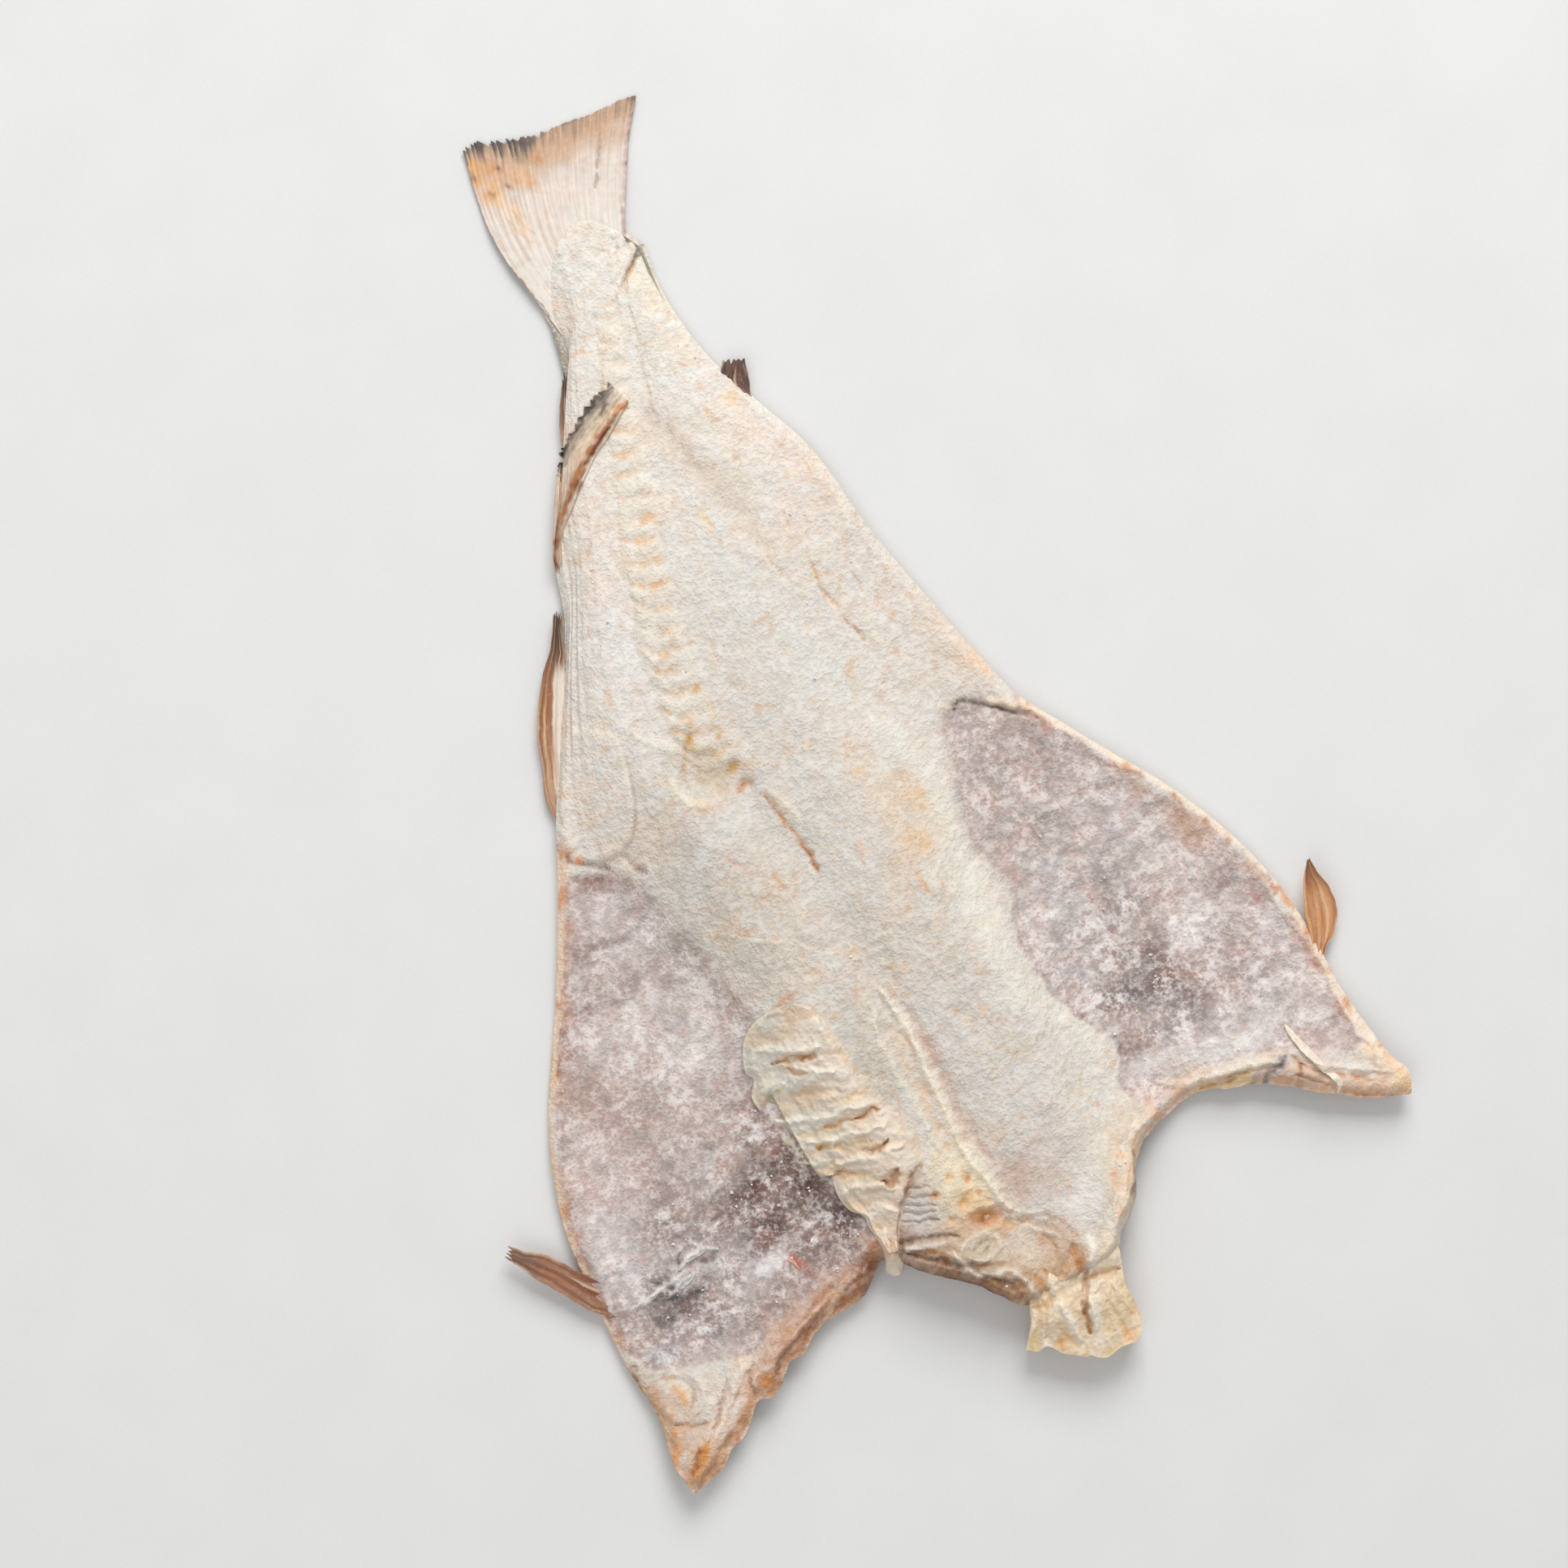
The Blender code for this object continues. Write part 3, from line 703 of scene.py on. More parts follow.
def lining_depth(spots):
    """Return how far inside either belly lining each spot is."""
    return np.maximum(LEFT_LINING.depth(spots), RIGHT_LINING.depth(spots))


class Flesh:
    """The heights and colours of the flesh side, worked out for a set of places."""

    def __init__(self, across, along):
        self.across, self.along = across, along
        self.reach = np.minimum(np.abs(across), 1)
        self.spots = plan(across, along)
        self.width = half_width(across, along)
        self.lining = lining_depth(self.spots)
        self.lining += 1.8 * rough(self.spots, 9, 91) + 0.8 * rough(self.spots, 3.4, 92)
        x, y = self.spots.T
        faint = smooth((y + 142) / 30) * (smooth(x / 20) + (x < 0) * smooth((x + 104) / 16)
                                          * smooth((-y - 16) / 14))
        self.lined = smooth(self.lining / (2.8 + 9.0 * faint) + 0.5)
        self.lobe = LEFT_LOBE.depth(self.spots)
        start, end = BACKBONE
        share = (along - start) / (end - start)
        span = BACKBONE_WIDTH[0] + share * (BACKBONE_WIDTH[1] - BACKBONE_WIDTH[0])
        self.column = self.reach * self.width * np.sign(across) / span + 0.12
        fray = 0.3 * noise(self.spots, 6, 15)
        self.bones = smooth(share / 0.12) * smooth((1 - share) / 0.06)
        self.bones = self.bones * smooth((1.15 + fray - np.abs(self.column)) / 0.5)
        bend = 0.12 * self.column ** 2 - 0.08 * self.column
        beat = share * VERTEBRAE + bend + 0.14 * noise(self.spots, 11, 2)
        beat = beat + 0.12 * noise(self.spots, 3.2, 4)
        self.beat = beat - np.floor(beat)
        self.joint = smooth(self.beat / 0.3) * smooth((1 - self.beat) / 0.55)

    def height(self):
        """Return the height over the table, in landmark millimetres."""
        along, reach, spots = self.along, self.reach, self.spots
        crest, flap = read(CREST, along), read(FLAP, along)
        loin = np.where(self.across < 0, read(LOIN_LEFT, along), read(LOIN_RIGHT, along))
        fall = smooth((reach - 0.4 * loin) / (0.72 * loin))
        height = crest + (flap - crest) * fall
        off_spine = reach * self.width
        height -= 3.0 * smooth((along - 0.42) / 0.1) * hump(off_spine, 9.0)
        height += 0.9 * rough(spots, 26, 3) * smooth(off_spine / 12)
        height += 0.6 * rough(spots, 9, 11) + 0.34 * rough(spots, 3.6, 5, 2)
        strands = rough(stretch(self.across * 46, along * 540, 4.5), 5, 13)
        height += 0.3 * strands * smooth((0.5 - along) / 0.2)

        # The lining lies a little lower than the flesh it was peeled from
        height -= 1.1 * self.lined - 0.3 * self.lined * rough(spots, 6, 17)
        height += 1.1 * smooth(self.lobe / 2.0 + 0.5)

        # Vertebrae, and the grooves beside them
        arch = np.clip(1 - np.abs(self.column) ** 3, 0, 1)
        beads = 1.2 + 0.5 * noise(spots, 9, 43)
        height += self.bones * (0.5 + 0.7 * beads * self.joint) * arch
        height -= 0.8 * self.bones * hump(np.abs(self.column) - 1.1, 0.2)

        height += draw(spots, FLESH_MARKS)
        height += 0.7 * stroke(spots, PALE_BAND, 6.0)
        room = np.minimum((1 - reach) * self.width, (1 - along) * SPINE.length)
        room = np.minimum(room, along * SPINE.length + 0.5)
        height *= 1 - (1 - EDGE_SHARE) * hump(room, ROLL)
        return np.maximum(height, 1.8) + lift(self.across, along)

    def paint(self):
        """Return the colours and the salt's contrast."""
        spots = self.spots
        paint = Paint(spots, 0xE8E0D5, 0.2)
        for x, y, wide, tall, shade, strength, *turn in FLESH_AREAS:
            paint.wash(blot(spots, x, y, wide, tall, *turn) * strength, shade)
        paint.speckle(15, 21, 1.6, 0, 0.45, 0xECD4BE)
        paint.speckle(12, 21, -1.6, 0, 0.5, 0xE5E6E0)
        paint.speckle(8, 25, 2, -0.5, 0.4, 0xECE0C4)
        paint.speckle(5.5, 31, 3, -1, 0.5, 0xE2B890)
        paint.wash(stroke(spots, PALE_BAND, 8.0) * 0.8, 0xEEEADC, 0.12)

        # Vertebrae: cream ridges with orange between them, most on the left side
        ridge = self.bones * self.joint
        gap = self.bones * smooth((0.26 - np.minimum(self.beat, 1 - self.beat)) / 0.2)
        patchy = smooth(noise(spots, 7, 41) * 1.3 + 0.35) * smooth((self.along - 0.13) * 6 + 0.1)
        paint.wash(self.bones * 0.5, 0xEADECA, 0.2)
        paint.wash(ridge * 0.5, 0xF0E9DA, 0.12)
        fine = smooth(0.6 + rough(spots, 3, 45))
        paint.wash(gap * (0.25 + patchy) * fine * smooth((1.05 - np.abs(self.column)) / 0.4),
                   0xE2B88C, 0.15)
        paint.speckle(4, 47, 2, -0.4, 0.5, 0xE4BE96, where=self.bones)
        paint.wash(self.bones * hump(self.column + 1.05, 0.18) * 0.4, 0xE4CEBC)

        paint.colour *= 1 - 0.08 * smooth((130 - spots[:, 1:]) / 60)

        # The lining: a maroon and grey skin under loose salt
        lining = Paint(spots, 0xC8B6AD, 0.45)
        for x, y, wide, tall, shade, strength, grain, *turn in LINING_AREAS:
            lining.wash(blot(spots, x, y, wide, tall, *turn) * strength, shade, grain)
        clumps = 0.8 * noise(spots, 13, 51) + 0.7 * noise(spots, 6, 53)
        clumps += 1.2 * noise(spots, 3.2, 55)
        clumps += 0.8 * rough(stretch(spots[:, 1], spots[:, 0], 3.5), 5, 56)
        lining.colour *= np.exp(clumps * (0.02 + 0.4 * lining.grain))[:, None]
        lining.grain *= 0.45 + 0.7 * smooth(0.5 + 0.45 * clumps)
        salted = smooth(clumps - 0.9) * smooth(2 * lining.grain - 0.3)
        lining.wash(salted * 0.6, 0xE8E1DC)
        lining.speckle(9, 57, 1.8, -0.2, 0.4, 0xCCA291)
        lining.speckle(4, 60, 2, -0.7, 0.35, 0xAC867C)
        lining.wash(smooth(rough(stretch(spots[:, 1], spots[:, 0], 3), 7, 58) * 2.2 - 0.7) * 0.5,
                    0x86645C)
        lining.colour *= (1.0, 1.02, 1.06)
        mask = self.lined
        paint.colour += (lining.colour - paint.colour) * mask[:, None]
        paint.grain += (lining.grain - paint.grain) * mask
        paint.speckle(10, 59, 1, 0.6, 0.5, 0xA0867E, where=hump(self.lining - 0.9, 1.5))

        # Painted shadow along the lower rim of the raised lobe
        lobe_shadow = hump(self.lobe + 0.9, 1.0) * smooth((-60 - spots[:, 0]) / 6)
        paint.wash(lobe_shadow * smooth((34 - spots[:, 1]) / 20) * 0.55, 0xA08276)
        paint.wash(hump(self.lobe - 1.0, 1.3) * 0.5, 0xEEE4D0, 0.1)
        draw(spots, FLESH_MARKS, paint)
        self.paint_rims(paint)
        return paint

    def paint_rims(self, paint):
        """Paint the bare rims of the belly flaps and the stained flap tips."""
        spots = self.spots
        ragged = 1.5 * rough(spots, 8, 71) + 1.0 * rough(spots, 3, 72)
        for rim, widths, shade, seed in ((RIGHT_RIM, RIM_RIGHT, 0xF0DEC8, 73),
                                         (LEFT_RIM, RIM_LEFT, 0xECCEB2, 77)):
            distance, share, _ = rim.nearest(spots)
            width = 0.8 * read(widths, share) + ragged
            paint.speckle(12, seed, 2, 0.4, 0.6, 0xCE9A7E, 0.25,
                          hump(distance - width - 1.5, 3.6))
            paint.speckle(6, seed + 1, 2.4, 0, 0.8, 0xA66C4E, 0.2,
                          hump(distance - width - 1.0, 1.6))
            paint.wash(smooth((width - distance) / 1.4 + 0.5) * 0.9, shade, 0.1)
            paint.speckle(7, seed + 2, 2.4, -0.3, 0.8, 0xD89868, 0.1,
                          smooth((4.5 - distance) / 2))
        for cut, start, wide in ((LEFT_CUT, 0.3, 8.0), (RIGHT_CUT, 0.3, 5.0)):
            distance, share, _ = cut.nearest(spots)
            band = smooth((wide + 2 * ragged - distance) / 3.0) * smooth((share - start) / 0.06)
            paint.wash(band * 0.9, 0xDCBA9E, 0.3)
            paint.speckle(6, 81, 2.4, -0.2, 0.8, 0xCC9264, 0.1, band)


# ---- Materials ----

class Value:
    """A shader socket that takes part in Python arithmetic."""

    def __init__(self, shader, socket):
        self.shader, self.socket = shader, socket

    def math(self, operation, *values):
        """Add a Math node."""
        return self.shader.node("ShaderNodeMath", {"operation": operation},
                                dict(enumerate(values)))

    def __add__(self, other):
        return self.math("ADD", self, other)

    __radd__ = __add__

    def __sub__(self, other):
        return self.math("SUBTRACT", self, other)

    def __rsub__(self, other):
        return self.math("SUBTRACT", other, self)

    def __mul__(self, other):
        return self.math("MULTIPLY", self, other)

    __rmul__ = __mul__

    def ease(self, low, high):
        """Rise smoothly from 0 at low to 1 at high."""
        return self.shader.node("ShaderNodeMapRange", {"interpolation_type": "SMOOTHSTEP"},
                                {"Value": self, "From Min": low, "From Max": high})


class Shader:
    """A new material whose nodes are added by name."""

    def __init__(self, name):
        self.material = bpy.data.materials.new(name)
        self.material.use_nodes = True
        self.tree = self.material.node_tree
        self.surface = self.tree.nodes["Principled BSDF"]
        self.place = self.node("ShaderNodeTexCoord", {}, {}, "Object")

    def feed(self, socket, value):
        """Link or set one input."""
        if isinstance(value, Value):
            self.tree.links.new(value.socket, socket)
        else:
            socket.default_value = value

    def node(self, kind, options, inputs, output=0):
        """Add a node, set its options and feed its inputs."""
        made = self.tree.nodes.new(kind)
        for key, value in options.items():
            setattr(made, key, value)
        for key, value in inputs.items():
            self.feed(made.inputs[key], value)
        return Value(self, made.outputs[output])

    def noise(self, size, detail=3.0, roughness=0.55, vector=None):
        """Noise whose lumps are about this many metres."""
        return self.node("ShaderNodeTexNoise", {}, {
            "Vector": vector or self.place, "Scale": 1 / size, "Detail": detail,
            "Roughness": roughness})

    def mix(self, factor, first, second):
        """Mix two colours."""
        return self.node("ShaderNodeMix", {"data_type": "RGBA"},
                         {0: factor, 6: first, 7: second}, 2)

    def tint(self, colour, red, green, blue):
        """Multiply a colour."""
        return self.node("ShaderNodeVectorMath", {"operation": "MULTIPLY"},
                         {0: colour, 1: (red, green, blue)})

    def stain(self, factor, colour, *shade):
        """Multiply a colour where the factor says."""
        return self.mix(factor, colour, self.tint(colour, *shade))

    def attribute(self, name, output="Fac"):
        """Read what the piece keeps on its verts."""
        return self.node("ShaderNodeAttribute", {"attribute_name": name}, {}, output)

    def bump(self, height, distance, strength):
        """Turn a height into a normal."""
        return self.node("ShaderNodeBump", {}, {
            "Height": height, "Distance": distance, "Strength": strength})

    def set(self, **inputs):
        """Feed the surface's inputs, spelt with underscores."""
        for key, value in inputs.items():
            self.feed(self.surface.inputs[key.replace("_", " ")], value)
        return self.material


def linear(shade):
    """Return a colour socket's value."""
    return (*[float(value) for value in shade], 1.0)


def settings():
    """Return the sizes that the panel shows."""
    return bpy.context.scene.cod_sizes


def colours():
    """Return the colours that the panel shows."""
    return bpy.context.scene.cod_colours


def tissue_material(name, speck, gloss=0.0):
    """Dried tissue: salt grains stand out pale and the pits between them dark."""
    shader = Shader(name)
    colour = shader.attribute("colour", "Color")
    grain = shader.attribute("grain")
    fine = shader.noise(speck, 1.0, 0.6)
    mid = shader.noise(2.3 * speck, 1.0, 0.7)
    coarse = shader.noise(5.0 * speck, 2.0, 0.8)
    bare = (shader.node("ShaderNodeRGBToBW", {}, {0: colour}) - 0.42) * grain
    lumps = fine * 0.2 + mid * 0.4 + coarse * 0.4 + bare * 0.22
    cover = lumps.ease(0.4, 0.61)
    crust = shader.noise(6.0 * speck, 4.0, 0.85)
    warm = crust.ease(0.52, 0.66) * (0.42 - 0.3 * grain)
    cool = crust.ease(0.48, 0.34) * (0.3 - 0.2 * grain)
    colour = shader.stain(warm, colour, 0.98, 0.83, 0.62)
    colour = shader.stain(cool, colour, 0.93, 0.97, 1.02)
    pits = shader.stain(grain, colour, 0.52, 0.44, 0.42)
    crystals = shader.mix(grain * 0.72 + 0.05, colour, linear(colours().salt))
    height = fine * 0.3 + mid * 0.5 + coarse * 0.5 + cover * 0.25
    return shader.set(
        Base_Color=shader.mix(cover, pits, crystals),
        Roughness=0.74 + cover * 0.1 - gloss,
        Normal=shader.bump(height, 0.8 * MM, 0.8),
    )


def fin_material(name):
    """Dried fin rays: the colour kept on the piece, streaked along the rays."""
    shader = Shader(name)
    colour = shader.attribute("colour", "Color")
    strands = shader.node("ShaderNodeUVMap", {}, {})
    streaks = shader.node("ShaderNodeMapping", {}, {"Vector": strands, "Scale": (46, 3.5, 1)})
    lines = shader.noise(1.0, 3.0, 0.6, streaks)
    blotches = shader.noise(0.006, 4.0, 0.75)
    tinted = shader.mix(lines.ease(0.36, 0.64), shader.tint(colour, 0.94, 0.91, 0.88),
                        shader.tint(colour, 1.04, 1.04, 1.04))
    tinted = shader.stain(blotches.ease(0.5, 0.68) * 0.5, tinted, 0.96, 0.84, 0.68)
    dust = shader.noise(0.002, 3.0, 0.7).ease(0.54, 0.68) * shader.attribute("grain")
    return shader.set(
        Base_Color=shader.mix(dust, tinted, linear(colours().salt)),
        Roughness=0.6 + dust * 0.2,
        Normal=shader.bump(lines + dust * 0.4, 0.4 * MM, 0.6),
    )


def skin_material(name):
    """The skin side: dappled, with a fine scale pattern and some salt."""
    shader = Shader(name)
    colour = shader.attribute("colour", "Color")
    spots = shader.noise(0.007, 3.0, 0.55)
    dapple = shader.node("ShaderNodeTexVoronoi", {"feature": "SMOOTH_F1"},
                         {"Vector": shader.place, "Scale": 1 / 0.011})
    dark = shader.tint(colour, 0.52, 0.48, 0.38)
    mottled = shader.mix(dapple.ease(0.2, 0.62) * spots.ease(0.36, 0.6), colour, dark)
    scales = shader.node("ShaderNodeTexVoronoi", {"feature": "DISTANCE_TO_EDGE"},
                         {"Vector": shader.place, "Scale": 1 / 0.0021})
    rims = scales.ease(0.0, 0.16)
    scaled = shader.mix(rims * 0.5 + 0.5, dark, mottled)
    fine = shader.noise(0.0013, 3.0, 0.6)
    dust = fine.ease(0.52, 0.66) * shader.attribute("grain")
    return shader.set(
        Base_Color=shader.mix(dust, scaled, linear(colours().salt)),
        Roughness=0.5 + dust * 0.3,
        Normal=shader.bump(fine * 0.4 + spots * 0.5 + rims * 0.3 + dust * 0.3, 0.6 * MM, 0.8),
    )


def salt_material(name):
    """White, slightly glassy salt crystals."""
    shader = Shader(name)
    cloud = shader.noise(0.0009, 2.0, 0.5)
    pale = linear(colours().salt)
    grey = linear(np.array(colours().salt) * 0.88)
    return shader.set(Base_Color=shader.mix(cloud, grey, pale), Roughness=0.35 + cloud * 0.2)


def floor_material():
    """Pale, finely grained plaster."""
    shader = Shader("pale_floor")
    paper = shader.noise(0.0016, 3.0, 0.6) * 0.5 + shader.noise(0.05, 3.0, 0.5) * 0.5
    shade = np.array(colours().floor)
    return shader.set(Base_Color=shader.mix(paper, linear(shade * 0.93), linear(shade * 1.07)),
                      Roughness=0.9)


# Each material's maker and what the maker needs: for tissue the grain's size and the gloss
MATERIALS = {
    "crusted_flesh": (tissue_material, 0.0011),
    "bare_tissue": (tissue_material, 0.0016, 0.16),
    "dried_fin": (fin_material,),
    "cod_skin": (skin_material,),
    "salt_crystals": (salt_material,),
}


def material(name):
    """Return a material, made when it is first asked for."""
    make, *facts = MATERIALS[name]
    return bpy.data.materials.get(name) or make(name, *facts)


# ---- Sizes and colours ----

class CodSizes(bpy.types.PropertyGroup):
    """Sizes that a user would change."""

    crystal: bpy.props.FloatProperty(
        name="Crystal", description="Width of a large crystal of salt",
        default=1.2 * MM, unit="LENGTH")
    crystals: bpy.props.IntProperty(
        name="Crystals", description="Most large crystals that may lie on the fish", default=8000)
    powder: bpy.props.IntProperty(
        name="Powder", description="Most fine grains that may lie on the fish", default=12000)
    flesh_rows: bpy.props.IntProperty(
        name="Flesh rows", description="Rows of faces along the flesh", default=350)
    flesh_columns: bpy.props.IntProperty(
        name="Flesh columns", description="Columns of faces across the flesh", default=216)


class CodColours(bpy.types.PropertyGroup):
    """Colours that a user would change."""

    salt: bpy.props.FloatVectorProperty(
        name="Salt", description="Colour of the salt", default=tuple(tone(0xEEEAE6)),
        subtype="COLOR", size=3, min=0, max=1)
    floor: bpy.props.FloatVectorProperty(
        name="Floor", description="Colour of the floor", default=tuple(tone(0xE4E4E3)),
        subtype="COLOR", size=3, min=0, max=1)


# ---- The body ----

class Cover(Slab):
    """A slab that follows the flesh side between shares across and along the fish.

    A side that lies inside the outline sinks into the flesh below; one on the outline is pushed
    out past it and hangs down to the base.
    """

    def __init__(self, name, sides, columns, rows, wall=3, under=9):
        super().__init__(name, columns, rows, wall, under)
        self.sides = left, right, near, far = sides
        face = self.face = Flesh(left + (right - left) * self.u, near + (far - near) * self.v)
        self.full = (right - left) * face.width
        self.long = (far - near) * SPINE.length
        self.map = self.shares(self.full, self.long, 0.6, 1.4)
        self.across = left + (right - left) * self.map[0]
        self.along = np.clip(near + (far - near) * self.map[1], 0, 1)
        self.beside = (1 - face.reach) * face.width
        self.beyond = (1 - face.along) * SPINE.length
        self.paint = face.paint()

    def sunk(self):
        """Return how far each vert has sunk below the flesh, from 0 to 1."""
        left, right, near, far = self.sides
        gaps = [np.full(len(self.u), 9.0)]
        for inside, share, size in ((left > -1, self.u, self.full), (right < 1, 1 - self.u,
                                    self.full), (near > 0, self.v, self.long),
                                    (far < 1, 1 - self.v, self.long)):
            if inside:
                gaps.append(share * size)
        return 1 - smooth((np.min(gaps, axis=0) - 0.4) / 4.0)

    def under(self, left, right, near):
        """Return where a finer piece, from these sides to the far end, hides this one."""
        gap = (self.along - near) * SPINE.length
        if left > -1:
            gap = np.minimum(gap, (self.across - left) * self.face.width)
        if right < 1:
            gap = np.minimum(gap, (right - self.across) * self.face.width)
        return smooth((gap - 6) / 4)

    def finish(self, rise, base, push, wall_shade):
        """Raise the flesh by a stated height, push out its rims and close it."""
        face, down = self.face, self.down
        push = push + 0.8 * rough(face.spots, 7, 95) + 0.4 * rough(face.spots, 3, 96)
        across = self.across + np.sign(self.across) * push * hump(self.beside, 2.5) / face.width
        spots = plan(across, self.along)
        spots[:, 1] -= push * hump(self.beyond, 2.5) * (1 - self.inward)
        top = face.height() + rise
        bottom = base + lift(across, self.along)
        wall = smooth(down * 1.4) * smooth(self.along / 0.06 + 0.1)
        self.paint.wash(wall * 0.85, wall_shade, 0.2)
        self.paint.speckle(7, 93, 2, 0, 0.6, 0xB07C52, 0.1, wall)
        self.close(spots, top + (bottom - top) * down, *self.map, self.paint, "crusted_flesh")


class AddFlesh(bpy.types.Operator):
    """Add the flesh, with its relief, its linings and its cut walls"""

    bl_idname = "cod.add_flesh"
    bl_label = "Flesh"
    # How far it sinks under the finer pieces, its base and how far its rim is pushed out
    SINK, BASE, PUSH = 4.0, 1.4, 0.3

    def execute(self, context):
        slab = Cover("flesh", (-1, 1, 0, 1), settings().flesh_columns, settings().flesh_rows)
        hidden = np.max([slab.under(*sides[:3]) for sides, *_ in DETAILS.values()], axis=0)
        slab.finish(-self.SINK * hidden, self.BASE, self.PUSH, 0xDAC2A6)
        return {"FINISHED"}


class AddSkin(bpy.types.Operator):
    """Add the skin side that the fish lies on"""

    bl_idname = "cod.add_skin"
    bl_label = "Skin"
    COLUMNS, ROWS = 130, 200
    THICK = 2.2
    INSET = 2.4
    LATERAL_LINE = 0.42  # as a share of the half width

    def execute(self, context):
        slab = Slab("skin", self.COLUMNS, self.ROWS, 2, 6)
        full = 2.0 * half_width(2 * slab.u - 1, slab.v)
        u, v = slab.shares(full, SPINE.length, 0.3, 0.0)
        u = 0.5 + (u - 0.5) * (1 - 2 * self.INSET / full)
        v = 0.006 + 0.99 * np.clip(v, 0, 1)
        across = 2 * u - 1
        spots = plan(across, v)
        waves = 0.9 + 0.5 * rough(spots, 34, 61) + 0.16 * rough(spots, 7, 63)
        width = half_width(across, v)
        waves += 0.25 * np.sin(np.abs(across) * width * 0.9) * smooth((np.abs(across) - 0.3) * 3)
        lateral = np.abs(across) * width - self.LATERAL_LINE * width
        waves -= 0.35 * hump(lateral, 1.4)
        height = np.maximum(waves, 0.05) + lift(across, v) + self.THICK * slab.down

        paint = Paint(spots, 0xB0A692, 0.4)
        paint.wash(smooth((np.abs(across) - 0.5) / 0.4) * 0.8, 0xCEC6B8, 0.45)
        paint.wash(hump(across * width, 38.0) * 0.8, 0x706A5A, 0.25)
        paint.speckle(18, 71, 1.4, 0, 0.4, 0x847A62)
        paint.wash(hump(lateral, 1.8) * 0.7, 0xCCC6B8, 0.2)
        paint.wash(hump(across * width, 2.0) * 0.5, 0x5C564C, 0.2)
        paint.wash(smooth((np.abs(across) * width - width + 4) / 3) * 0.8, 0xD6CCBC, 0.4)
        slab.close(spots, height, u, v, paint, "cod_skin")
        return {"FINISHED"}


# ---- Fins ----

TAIL_LEFT = [(-13, 214), (-18, 236), (-22, 252), (-24, 270), (-23, 288), (-21, 302), (-20, 309)]
TAIL_RIGHT = [(31, 218), (32, 242), (37, 256), (41, 264), (46, 274), (52, 285), (58, 294),
              (62, 300)]
TAIL_EDGE = [(-20, 309), (-13, 310), (-4, 306), (6, 303), (14, 302), (26, 302), (35, 301),
             (47, 301), (56, 301), (62, 300)]
# Marks on the tail fin, as draw takes them
TAIL_MARKS = [
    ([(-19, 303), (-15, 281)], 6, 0, 0xE8B47C),
    ([(-14, 284), (-9, 262)], 4, 0, 0xECCEAA, 0.7),
    ([(-8, 296), (4, 282)], 5, 0, 0xDEAA7A, 0.7),
    ((-11, 296), (4, 3), 0, 0xE2A05A, 0.8),
    ((10, 293), (2, 3, -20), 0, 0xCE8C50, 0.8),
    ((-2, 287), (3, 4), 0, 0xE4AC70, 0.7),
    ([(-20, 309), (-25, 272), (-19, 240), (-14, 224)], 0.9, 0.3, 0x8C6A54),
    ([(-20, 308), (-13, 309), (2, 304)], 2.8, 0, 0x544E4E, 1),
    ([(2, 303), (12, 301), (18, 302)], 2.2, 0, 0x80746A, 0.75),
    ([(24, 302), (38, 301)], 1.4, 0, 0x8E7E72, 0.7),
    ((61, 300), (2.6, 3.2), 0.2, 0x544846, 0.95),
    ([(40, 291), (33, 277)], 0.8, -0.3, 0xB49E90, 0.7),
    ([(32, 275), (28, 269)], 1.1, -0.5, 0x8C7C70, 0.8),
    ([(59, 297), (42, 266), (33, 246)], 2.2, 0.5, 0xCEB2A8, 0.8),
    ([(61, 298), (51, 282), (37, 255)], 0.8, 0.2, 0x88685A),
    ([(36, 256), (31, 243)], 1.4, 0, 0xBE9C94, 0.7),
    ((-8, 295), (1.4, 2.4, 20), 0, 0x766052),
    ((-20, 296), (1.2, 2.4, 20), 0, 0x805E42, 0.8),
    ((-8, 286), (1.1, 2, 20), 0, 0xA67042, 0.8),
    ((-16, 286), (1.1, 1.8, 20), 0, 0x926846, 0.8),
    ((2, 297), (3.4, 4), 0, 0x968878, 0.7),
    ([(-12, 277), (-6, 260)], 0.6, 0, 0xD6B088, 0.8),
    ([(-16, 275), (-9, 257)], 0.6, 0, 0xD6B490, 0.7),
]
